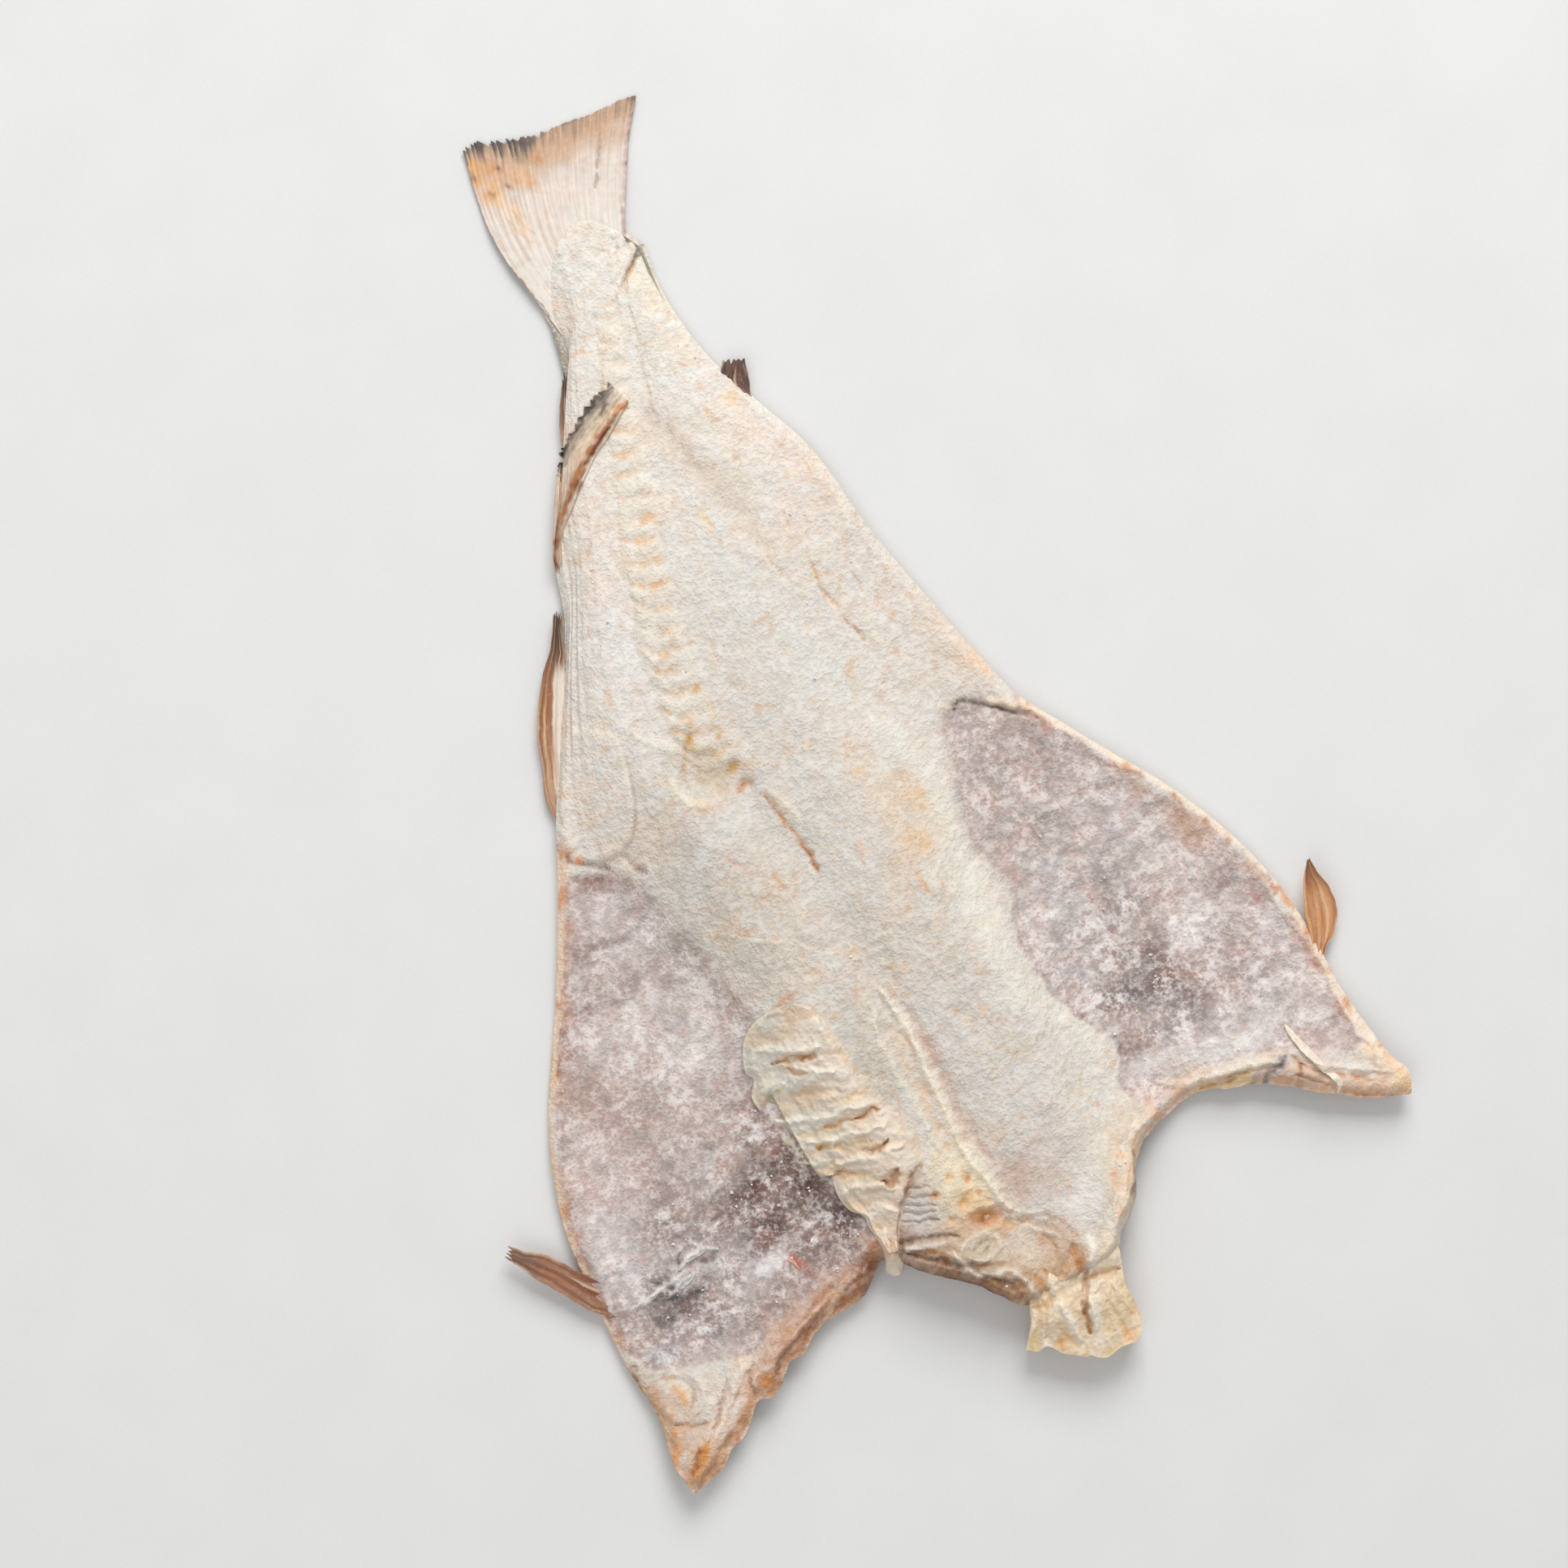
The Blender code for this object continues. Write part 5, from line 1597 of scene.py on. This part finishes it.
class AddDetails(bpy.types.Operator):
    """Add the finer relief of the cut nape and of both flap ends"""

    bl_idname = "cod.add_details"
    bl_label = "Nape and flap ends"
    BASE = 1.7

    def execute(self, context):
        for name, (sides, columns, rows, marks, rise, push, wall, stain) in DETAILS.items():
            slab = Cover(name, sides, columns, rows, 4, 4)
            face = slab.face
            cut = hump(slab.beyond, 14.0)
            folds = rough(stretch(face.spots[:, 1] - 0.6 * face.spots[:, 0],
                                  face.spots[:, 0], 2.2), 4.5, 31)
            lumps = folds * (0.3 + 1.1 * cut)
            slab.paint.speckle(7, 35, 1.6, 0.3, 0.8, stain, 0.15, cut)
            height = 0.3 * rough(face.spots, 2.0, 33, 2) + lumps
            height += draw(face.spots, marks, slab.paint)
            # Painted shade: the wall colour laid into the fold hollows near the cut; painted
            # highlight: cream on the fold crests
            slab.paint.wash(cut * smooth(-folds * 1.8 - 0.2) * 0.8, wall, 0.1)
            slab.paint.wash(cut * smooth(folds * 1.5 - 0.3) * 0.6, 0xEED6B8, 0.1)
            sunk = slab.sunk()
            height = (rise + height) * (1 - sunk) - 0.5 * sunk
            slab.finish(height, self.BASE, push, wall)
        return {"FINISHED"}


# ---- Loose tissue ----

BLADDER_LEFT = [(-44, -105), (-52, -105), (-60, -107), (-67, -112), (-71, -119), (-73, -126),
                (-71, -131), (-75, -138), (-74, -146), (-75, -154), (-73, -163), (-71, -171),
                (-67, -178), (-62, -183), (-56, -183), (-57, -189), (-57, -196), (-55, -202),
                (-50, -207), (-50, -213), (-48, -220), (-47, -226)]
BLADDER_RIGHT = [(-40, -106), (-34, -110), (-30, -118), (-28, -127), (-26, -138), (-24, -150),
                 (-20, -162), (-16, -173), (-13, -184), (-14, -193), (-20, -200), (-27, -206),
                 (-33, -212), (-38, -219), (-42, -227)]
# Marks on the bladder, as draw takes them
BLADDER_MARKS = [
    ([(-62, -119), (-38, -129)], 2, 1, 0xECE6D6, 0.6),
    ([(-54, -133), (-36, -141)], 1.6, 1.4, 0xF0EADA, 0.8),
    ([(-70, -137), (-62, -140), (-54, -140)], 1.8, 0.8, 0xE6E6DA, 0.6),
    ([(-70, -151), (-60, -156), (-50, -159), (-30, -160)], 2, 1.3, 0xEEE8D6, 0.7),
    ([(-60, -166), (-51, -169), (-30, -172), (-22, -171)], 1.8, 1.4, 0xF0E8D4, 0.8),
    ([(-52, -181), (-22, -184)], 1.8, 1.4, 0xF0E6D2, 0.8),
    ([(-56, -194), (-47, -194), (-32, -200)], 1.8, 1.5, 0xF0E2CC, 0.8),
    ([(-67, -174), (-60, -177), (-53, -178)], 1.8, 0.9, 0xE2E4D6, 0.7),
    ([(-56, -144), (-37, -150)], 2.4, -1, 0xE8CEA8, 0.8),
    ([(-64, -162), (-56, -164), (-47, -164)], 1.6, -0.9, 0xE8C896, 0.8),
    ([(-48, -174), (-42, -176), (-36, -176)], 1.6, -0.7, 0xE6C892, 0.7),
    ([(-54, -187), (-40, -190)], 1.5, -0.9, 0xE8CA9C, 0.8),
    ([(-43, -152), (-36, -155), (-29, -155)], 1.4, -0.7, 0xE6CCA4, 0.7),
    ([(-60, -127), (-50, -128), (-41, -131)], 1.3, -1.9, 0xCE9A5E, 0.95),
    ([(-60, -127), (-57, -127)], 0.9, -0.6, 0xA86C38),
    ([(-47, -130), (-43, -131)], 0.9, -0.5, 0xB27642, 0.8),
    ([(-55, -132), (-52, -136), (-48, -136)], 1.2, -1.3, 0xDAA670),
    ((-50, -133), (1.8, 1.2), 0.8, 0xECE0CC, 0.8),
    ((-62, -140), (3, 1.2, 10), -0.8, 0xCEBE84, 0.7),
    ([(-50, -163), (-35, -165)], 1.1, -1.3, 0xD09E60, 0.85),
    ([(-35, -165), (-31, -165), (-28, -163), (-24, -165)], 1.5, -2, 0xB87C3E, 1),
    ([(-58, -170), (-44, -174)], 1.4, -1.2, 0xDAAC5C),
    ((-56, -171), (1.8, 1), -0.6, 0xC48236),
    ([(-38, -179), (-34, -181), (-30, -181), (-27, -179)], 1.5, -2.2, 0xB07030, 1),
    ([(-54, -184), (-46, -187)], 0.9, -1, 0xD4A46C, 0.8),
    ([(-36, -196), (-32, -197), (-27, -193)], 1.9, -2.4, 0xAA6A34, 1),
    ((-59, -138), (1, 1), 1, 0xF6F4F2),
    ((-50, -171), (1.3, 1), 1, 0xF6F4F2),
    ([(-18, -196), (-29, -206)], 2.6, -1.2, 0xAA7A58),
    ([(-22, -198), (-33, -211), (-40, -224)], 1.5, -1.2, 0x9E6846, 0.95),
    ([(-48, -205), (-42, -205), (-36, -209)], 2, 1, 0xF2E2CE, 0.8),
    ([(-46, -222), (-43, -222)], 2, -0.6, 0xCE9668, 0.8),
]


class AddBladder(bpy.types.Operator):
    """Add the ruffled swim bladder beside the spine, and its torn end"""

    bl_idname = "cod.add_bladder"
    bl_label = "Swim bladder"

    def execute(self, context):
        ground = Ground("flesh", "nape")
        strip = Strip("swim_bladder", BLADDER_LEFT, BLADDER_RIGHT, 110, 230, None, 0.5, 0.3, 3, 5)
        u, v, spots = strip.u, strip.v, strip.spots
        level = ground.height(spots, 8.0)
        warp = spots + 1.6 * stretch(rough(spots, 9, 4), rough(spots, 9, 6))
        slant = warp[:, 1] + 0.34 * warp[:, 0]
        folds = noise(stretch(slant, warp[:, 0], 2.4), 6.4, 3)
        folds = folds + 0.5 * noise(stretch(slant, warp[:, 0], 3.6), 2.6, 9)
        left = smooth((0.36 - u) / 0.36)
        fade = smooth((1 - u + 0.05 * rough(spots, 5, 16)) / 0.16)
        height = level + 2.3 * smooth(u / 0.1) * fade + 1.9 * left * smooth(v * 8) + 0.5
        height += (0.8 * folds * smooth((v - 0.06) / 0.1) + 0.5 * rough(spots, 8, 5)
                   + 0.25 * rough(spots, 2.6, 7)) * (0.25 + 0.75 * fade)
        height -= 1.1 * (1 - fade)

        paint = Paint(spots, 0xE5D5C2, 0.12)
        paint.wash(smooth((0.56 - u) / 0.3) * 0.9 * smooth((0.75 - v) / 0.3),
                   0xDCD8CA, 0.1)
        paint.wash(smooth((v - 0.5) / 0.3) * 0.5, 0xD8C4AC, 0.1)
        paint.wash(smooth((0.12 - v) / 0.1) * 0.6, 0xE0D4C6, 0.2)
        paint.wash(smooth(-folds * 1.6) * 0.5, 0xE0C09A, 0.1)
        paint.wash(smooth(folds * 1.8 - 0.2) * 0.5, 0xEEE6D6, 0.1)
        paint.speckle(9, 13, 2, 0, 0.4, 0xE4C6A6, 0.1)
        paint.speckle(4, 15, 2, -0.4, 0.4, 0xCEAA86, 0.1)
        paint.wash(smooth((0.05 - u) / 0.05) * 0.5, 0xECE8D8, 0.1)
        height += draw(spots, BLADDER_MARKS, paint, 1.4)
        height = np.maximum(height, level + 0.35 * fade)
        paint.wash((1 - fade) * 0.5, 0xD8C6B2, 0.3)
        # Painted shade on the wall and underside of the overhanging left edge
        paint.wash(smooth(strip.down * 1.5) * left * 0.8, 0x968068, 0.1)
        strip.build(height, 2.0 + 5.0 * smooth((u - 0.45) * 2), paint, "bare_tissue")
        self.add_tail()
        return {"FINISHED"}

    def add_tail(self):
        """Add the torn end that hangs over the cut nape."""
        strip = Strip("bladder_tail",
                      [(-49, -215), (-48, -223), (-49, -229), (-51, -234), (-49, -238)],
                      [(-41, -215), (-42, -223), (-43, -229), (-43, -234), (-45, -238)],
                      24, 44, None, 0.8, 0.2, 3)
        u, v = strip.u, strip.v
        height = 20.3 - 9.0 * smooth((v - 0.5) / 0.5) + 1.8 * (1 - (2 * u - 1) ** 2)
        height += 0.6 * rough(strip.spots, 4, 5)
        paint = Paint(strip.spots, 0xF0DECA, 0.1)
        paint.wash(hump(v - 0.5, 0.14) * 0.6, 0xCE9C70, 0.05)
        paint.wash(smooth((0.3 - u) * 2) * 0.4, 0xDEBEA0, 0.1)
        strip.build(height, 3.4, paint, "bare_tissue")


# Marks on the lobe of the nape, as draw takes them
LOBE_MARKS = [
    ([(32, -268), (25, -284), (22, -297)], 1.6, -2.6, 0xC4925C),
    ([(25, -283), (23, -289)], 1, -0.8, 0xA06C3C, 0.7),
    ([(29, -273), (36, -273), (46, -276)], 1.6, -1.3, 0xCCA06E),
    ([(31, -280), (35, -277), (38, -279), (37, -283)], 0.9, 0.8, 0xF0E2CA, 0.8),
    ([(28, -280), (25, -296)], 1.4, 1.3, 0xF4EAD6, 0.8),
    ([(38, -276), (42, -285), (43, -296)], 1.2, 0.9, 0xF0DCBA, 0.7),
    ([(34, -286), (36, -296), (36, -305)], 1.3, -0.6, 0xE6C696, 0.7),
    ([(14, -278), (17, -298)], 1.6, 1.2, 0xF6EEDE),
    ([(8, -274), (6, -282), (2, -290)], 1.4, -0.9, 0xDCBA8C, 0.7),
    ([(10, -286), (11, -294), (14, -301)], 1.2, -0.6, 0xE0BA88, 0.7),
    ([(-1, -285), (-5, -294)], 2.4, 0.4, 0xEED08C),
    ((8, -296), (4, 3, 40), -0.5, 0xE2A860),
    ((38, -305), (4, 3, 20), 0, 0xE8A65C),
    ((43, -293), (2.4, 3), 0, 0xEABA7C, 0.7),
    ((28, -308), (5, 1.6), 0, 0xE2BE84, 0.8),
    ((17, -304), (4, 1.6, 20), 0, 0xE0B882, 0.8),
    ([(2, -275), (8, -277), (14, -274)], 1.6, -1, 0xCEA474, 0.8),
    ((20, -266), (6, 4), 0, 0xE2C49C, 0.8),
]


class AddLobe(bpy.types.Operator):
    """Add the fibrous lobe of cartilage that sticks out of the neck"""

    bl_idname = "cod.add_lobe"
    bl_label = "Nape lobe"

    def execute(self, context):
        strip = Strip("nape_lobe",
                      [(10, -258), (6, -266), (2, -274), (-1, -282), (-5, -288), (-8, -293)],
                      [(49, -258), (49, -267), (47, -275), (45, -283), (46, -291), (46, -300)],
                      120, 110, [(-8, -293), (-3, -295), (2, -295), (7, -300), (10, -303),
                                 (18, -306), (24, -310), (32, -309), (37, -309), (43, -306),
                                 (46, -300)], 1.4, 2.5, 5, 6)
        u, v, spots = strip.u, strip.v, strip.spots
        fibre = noise(stretch(u * 60, v * 14), 5, 3)
        fibre = fibre + 0.6 * noise(stretch(u * 60, v * 16), 2.2, 5)
        spots[:, 1] -= 0.9 * noise(stretch(u * 70, v * 4), 4, 8) * smooth((v - 0.8) / 0.2)
        waist = hump(v - 0.4, 0.1)
        height = 22.8 - 2.0 * v - 5.0 * smooth((v - 0.62) / 0.38) + 1.4 * (1 - (2 * u - 1) ** 4)
        height += 0.8 * fibre - 1.2 * waist + 1.2 * rough(spots, 9, 7)
        height -= 2.5 * smooth((0.16 - u) / 0.16) + 2.0 * smooth((u - 0.88) / 0.12)
        height -= 4.0 * smooth((0.3 - v) / 0.3)
        paint = Paint(spots, 0xEEDABC, 0.14)
        paint.wash(smooth(fibre * 1.6) * 0.5, 0xF4E8D4, 0.15)
        paint.wash(smooth(-fibre * 1.6 - 0.1) * 0.45, 0xE4BE8C, 0.1)
        height += draw(spots, LOBE_MARKS, paint, 0.9)
        paint.wash(smooth(strip.down * 1.2) * 0.8, 0xC8A070, 0.1)
        strip.build(height, 15.0 - 3.0 * v, paint, "bare_tissue")
        return {"FINISHED"}


# Shreds: a line each, its width, rise, thickness and display colour
SHREDS = [
    ([(159, -206), (161, -214), (164, -223), (167, -231), (171, -238), (168, -244)],
     3.2, 2.6, 2.4, 0xF0E2CE),
    ([(-160, -204), (-155, -203), (-149, -201)], 2.0, 1.2, 0.8, 0xE2DFDD),
    ([(-140, -204), (-136, -202), (-131, -200)], 2.6, 1.0, 0.8, 0xD2CECD),
    ([(-133, -194), (-128, -193), (-123, -193)], 1.8, 1.1, 0.8, 0xE0DDDC),
    ([(-90, -211), (-88, -214), (-87, -218)], 1.6, 0.7, 0.8, 0xC8846E),
]
# A shred's width from end to end, as shares of the whole
SHRED_PINCH = np.array([0.35, 0.8, 1.0, 1.05, 0.95, 1.0, 0.9, 0.7, 0.3])


class AddShreds(bpy.types.Operator):
    """Add the cord of sinew and the loose flakes of lining"""

    bl_idname = "cod.add_shreds"
    bl_label = "Shreds"

    def execute(self, context):
        ground = Ground("flesh", "left_flap_end", "right_flap_end")
        for number, (line, width, rise, thick, shade) in enumerate(SHREDS):
            centre = Path(line).at(np.linspace(0, 1, len(SHRED_PINCH)))
            run = np.gradient(centre, axis=0)
            run /= np.linalg.norm(run, axis=1, keepdims=True)
            side = stretch(-run[:, 1], run[:, 0]) * width / 2 * SHRED_PINCH[:, None]
            strip = Strip(f"shred_{number + 1}", centre + side, centre - side, 14, 40,
                          bulge=0.2, under=3)
            v, spots = strip.v, strip.spots
            strip.spots += 0.5 * stretch(rough(spots, 3, number), rough(spots, 3, 40))
            height = ground.height(spots, 3.0) + rise * (0.35 + 0.65 * hump(v - 0.55, 0.4))
            height += 0.3 * rough(spots, 3, number + 5)
            paint = Paint(spots, shade, 0.2)
            paint.speckle(4, number + 9, 2, 0, 0.3, 0xD6AC84, 0.1)
            strip.build(height, thick, paint, "bare_tissue")
        return {"FINISHED"}


# ---- Salt ----

class AddSalt(bpy.types.Operator):
    """Scatter salt over the flesh: large crystals on the linings, powder everywhere"""

    bl_idname = "cod.add_salt"
    bl_label = "Salt"
    TRIES = 12  # for each grain that may lie; the odds keep few of them
    WIDEST = 190  # millimetres from the spine
    BARE_SALT = 0.008  # on flesh, against 1 on the linings

    def execute(self, context):
        self.ground = Ground("flesh", *DETAILS)
        crystal = settings().crystal / MM
        self.scatter("salt_crystals", settings().crystals, crystal, self.crystal_shape(), 11)
        self.scatter("salt_powder", settings().powder, 0.6 * crystal, self.powder_shape(), 12)
        return {"FINISHED"}

    def crystal_shape(self):
        """Model one crystal: a cube with one end drawn in."""
        bpy.ops.object.select_all(action="DESELECT")
        bpy.ops.mesh.primitive_cube_add(size=1)
        piece = bpy.context.object
        for polygon in piece.data.polygons:
            polygon.select = polygon.normal.z > 0.9
        for edge in piece.data.edges:
            edge.select = False
        bpy.ops.object.mode_set(mode="EDIT")
        bpy.ops.mesh.select_mode(type="FACE")
        bpy.ops.transform.resize(value=(0.72, 0.66, 1.0))
        bpy.ops.transform.translate(value=(0.08, -0.05, -0.12))
        return self.take(piece)

    def powder_shape(self):
        """Model one fine grain: a small pyramid."""
        bpy.ops.object.select_all(action="DESELECT")
        bpy.ops.mesh.primitive_cone_add(vertices=3, radius1=0.55, depth=0.8)
        bpy.ops.object.mode_set(mode="EDIT")
        return self.take(bpy.context.object)

    def take(self, piece):
        """Return a modelled grain's verts and faces, and clear it away."""
        bpy.ops.mesh.select_all(action="SELECT")
        bpy.ops.mesh.quads_convert_to_tris()
        bpy.ops.object.mode_set(mode="OBJECT")
        verts = read_verts(piece)
        faces = np.array([list(face.vertices) for face in piece.data.polygons])
        bpy.data.objects.remove(piece)
        return verts, faces

    def scatter(self, name, count, size, shape, seed):
        """Copy a grain to many places and make one piece of the copies."""
        verts, faces = shape
        draw_from = np.random.default_rng(seed)
        tries = self.TRIES * count
        across = draw_from.uniform(-0.97, 0.97, tries)
        along = draw_from.uniform(0.02, 0.985, tries)
        spots = plan(across, along)
        lined = smooth(lining_depth(spots) / 3)
        clump = smooth(rough(spots, 7, 33) * 1.6 + 0.3) * smooth(rough(spots, 2.6, 34) * 2 + 0.3)
        zones = np.zeros(tries)
        for x, y, wide, tall, _, _, grain, *turn in LINING_AREAS:
            zones = np.maximum(zones, blot(spots, x, y, wide, tall, *turn) * grain ** 2)
        cover = lined * zones ** 2 + (1 - lined) * self.BARE_SALT
        odds = cover * clump * half_width(across, along) / self.WIDEST
        keep = np.flatnonzero(draw_from.uniform(0, 1, tries) < odds)[:count]
        places = to_metres(spots[keep], self.ground.height(spots[keep]) + 0.25 * size)
        total = len(keep)
        turns = random_turns(draw_from, total)
        scale = size * MM * draw_from.uniform(0.45, 1.0, (total, 1, 1)) * draw_from.uniform(
            0.75, 1.2, (total, 1, 3))
        grains = np.einsum("gij,vj->gvi", turns, verts) * scale + places[:, None]
        index = faces[None] + (np.arange(total) * len(verts))[:, None, None]
        mesh = bpy.data.meshes.new(name)
        mesh.from_pydata(grains.reshape(-1, 3), [], index.reshape(-1, faces.shape[1]))
        piece = bpy.data.objects.new(name, mesh)
        bpy.context.scene.collection.objects.link(piece)
        finish_piece(piece, "salt_crystals", 20)


def random_turns(draw, count):
    """Return this many turns in any direction."""
    spin = draw.normal(size=(count, 4))
    w, x, y, z = (spin / np.linalg.norm(spin, axis=1, keepdims=True)).T
    rows = [[1 - 2 * (y * y + z * z), 2 * (x * y - z * w), 2 * (x * z + y * w)],
            [2 * (x * y + z * w), 1 - 2 * (x * x + z * z), 2 * (y * z - x * w)],
            [2 * (x * z - y * w), 2 * (y * z + x * w), 1 - 2 * (x * x + y * y)]]
    return np.moveaxis(np.array(rows), 2, 0).copy()


# ---- Stage ----

# The camera looks straight down: its roll, the width it covers and its aim, in millimetres
ROLL_ANGLE = math.radians(24.0)
FRAME_WIDTH = 714.8
FRAME_SHIFT = (3.2, -15.3)
# Soft lights: how far they stand up the picture, to its right and above the fish, their width,
# in metres, and their power
LIGHTS = {
    "key_light": (2.9, 0.4, 2.4, 2.2, 119.0),
    "fill_light": (-1.6, -1.0, 2.8, 2.6, 20.0),
}
ROOM_LIGHT = 0.42
FLOOR_LENGTHS = 12
FOCAL_LENGTH = 100.0
SENSOR_WIDTH = 36.0
VIEW_DEPTH = 20.0


class AddStage(bpy.types.Operator):
    """Add the floor, the soft lights and the camera"""

    bl_idname = "cod.add_stage"
    bl_label = "Stage"

    def execute(self, context):
        scene = context.scene
        scene.view_settings.view_transform = "Standard"
        centre = Vector(((LOW.x + HIGH.x) / 2, (LOW.y + HIGH.y) / 2, LOW.z))
        length = HIGH.y - LOW.y
        bpy.ops.object.select_all(action="DESELECT")
        bpy.ops.mesh.primitive_plane_add(size=FLOOR_LENGTHS * length, location=centre)
        floor = context.object
        floor.name = "floor"
        bpy.ops.object.transform_apply(location=True, rotation=True, scale=True)
        floor.data.materials.append(floor_material())

        up = Vector((math.sin(ROLL_ANGLE), math.cos(ROLL_ANGLE), 0))
        side = Vector((up.y, -up.x, 0))
        target = centre + (up * FRAME_SHIFT[1] + side * FRAME_SHIFT[0]) * MM
        for name, (ahead, right, above, size, power) in LIGHTS.items():
            offset = up * ahead + side * right + Vector((0, 0, above))
            self.add_light(name, target, offset, size, power)
        world = bpy.data.worlds.new("soft_room")
        world.use_nodes = True
        background = world.node_tree.nodes["Background"]
        background.inputs["Color"].default_value = (1.0, 1.0, 1.0, 1.0)
        background.inputs["Strength"].default_value = ROOM_LIGHT
        scene.world = world

        lens = bpy.data.cameras.new("camera")
        lens.lens = FOCAL_LENGTH
        lens.sensor_width = SENSOR_WIDTH
        lens.clip_end = VIEW_DEPTH
        camera = bpy.data.objects.new("camera", lens)
        scene.collection.objects.link(camera)
        distance = FRAME_WIDTH * MM * FOCAL_LENGTH / SENSOR_WIDTH
        camera.location = target + Vector((0, 0, distance))
        camera.rotation_euler = (0, 0, -ROLL_ANGLE)
        scene.camera = camera
        return {"FINISHED"}

    def add_light(self, name, target, offset, size, power):
        """Add a soft square light that faces the fish."""
        light = bpy.data.lights.new(name, "AREA")
        light.size = size
        light.energy = power
        thing = bpy.data.objects.new(name, light)
        bpy.context.scene.collection.objects.link(thing)
        thing.location = target + offset
        thing.rotation_euler = (-offset).to_track_quat("-Z", "Y").to_euler()


PIECES = (AddFlesh, AddSkin, AddTailFin, AddFins, AddDetails, AddBladder, AddLobe, AddShreds,
          AddSalt)


class CodPanel(bpy.types.Panel):
    """Lists the pieces of the salted cod."""

    bl_idname = "VIEW3D_PT_salt_cod"
    bl_label = "Salt Cod"
    bl_space_type = "VIEW_3D"
    bl_region_type = "UI"
    bl_category = "Salt Cod"

    def draw(self, context):
        layout = self.layout
        for group in (context.scene.cod_sizes, context.scene.cod_colours):
            for name in group.__annotations__:
                layout.prop(group, name)
        for operator in (*PIECES, AddStage):
            layout.operator(operator.bl_idname, text=operator.bl_label)


CLASSES = (CodSizes, CodColours, *PIECES, AddStage, CodPanel)


def register():
    """Add the classes and the scene's properties."""
    for entry in CLASSES:
        bpy.utils.register_class(entry)
    bpy.types.Scene.cod_sizes = bpy.props.PointerProperty(type=CodSizes)
    bpy.types.Scene.cod_colours = bpy.props.PointerProperty(type=CodColours)


def unregister():
    """Remove the classes and the scene's properties."""
    del bpy.types.Scene.cod_colours
    del bpy.types.Scene.cod_sizes
    for entry in reversed(CLASSES):
        bpy.utils.unregister_class(entry)


def main():
    """Build the fish and its stage."""
    register()
    for operator in (*PIECES, AddStage):
        group, name = operator.bl_idname.split(".")
        getattr(getattr(bpy.ops, group), name)()


if __name__ == "__main__":
    main()
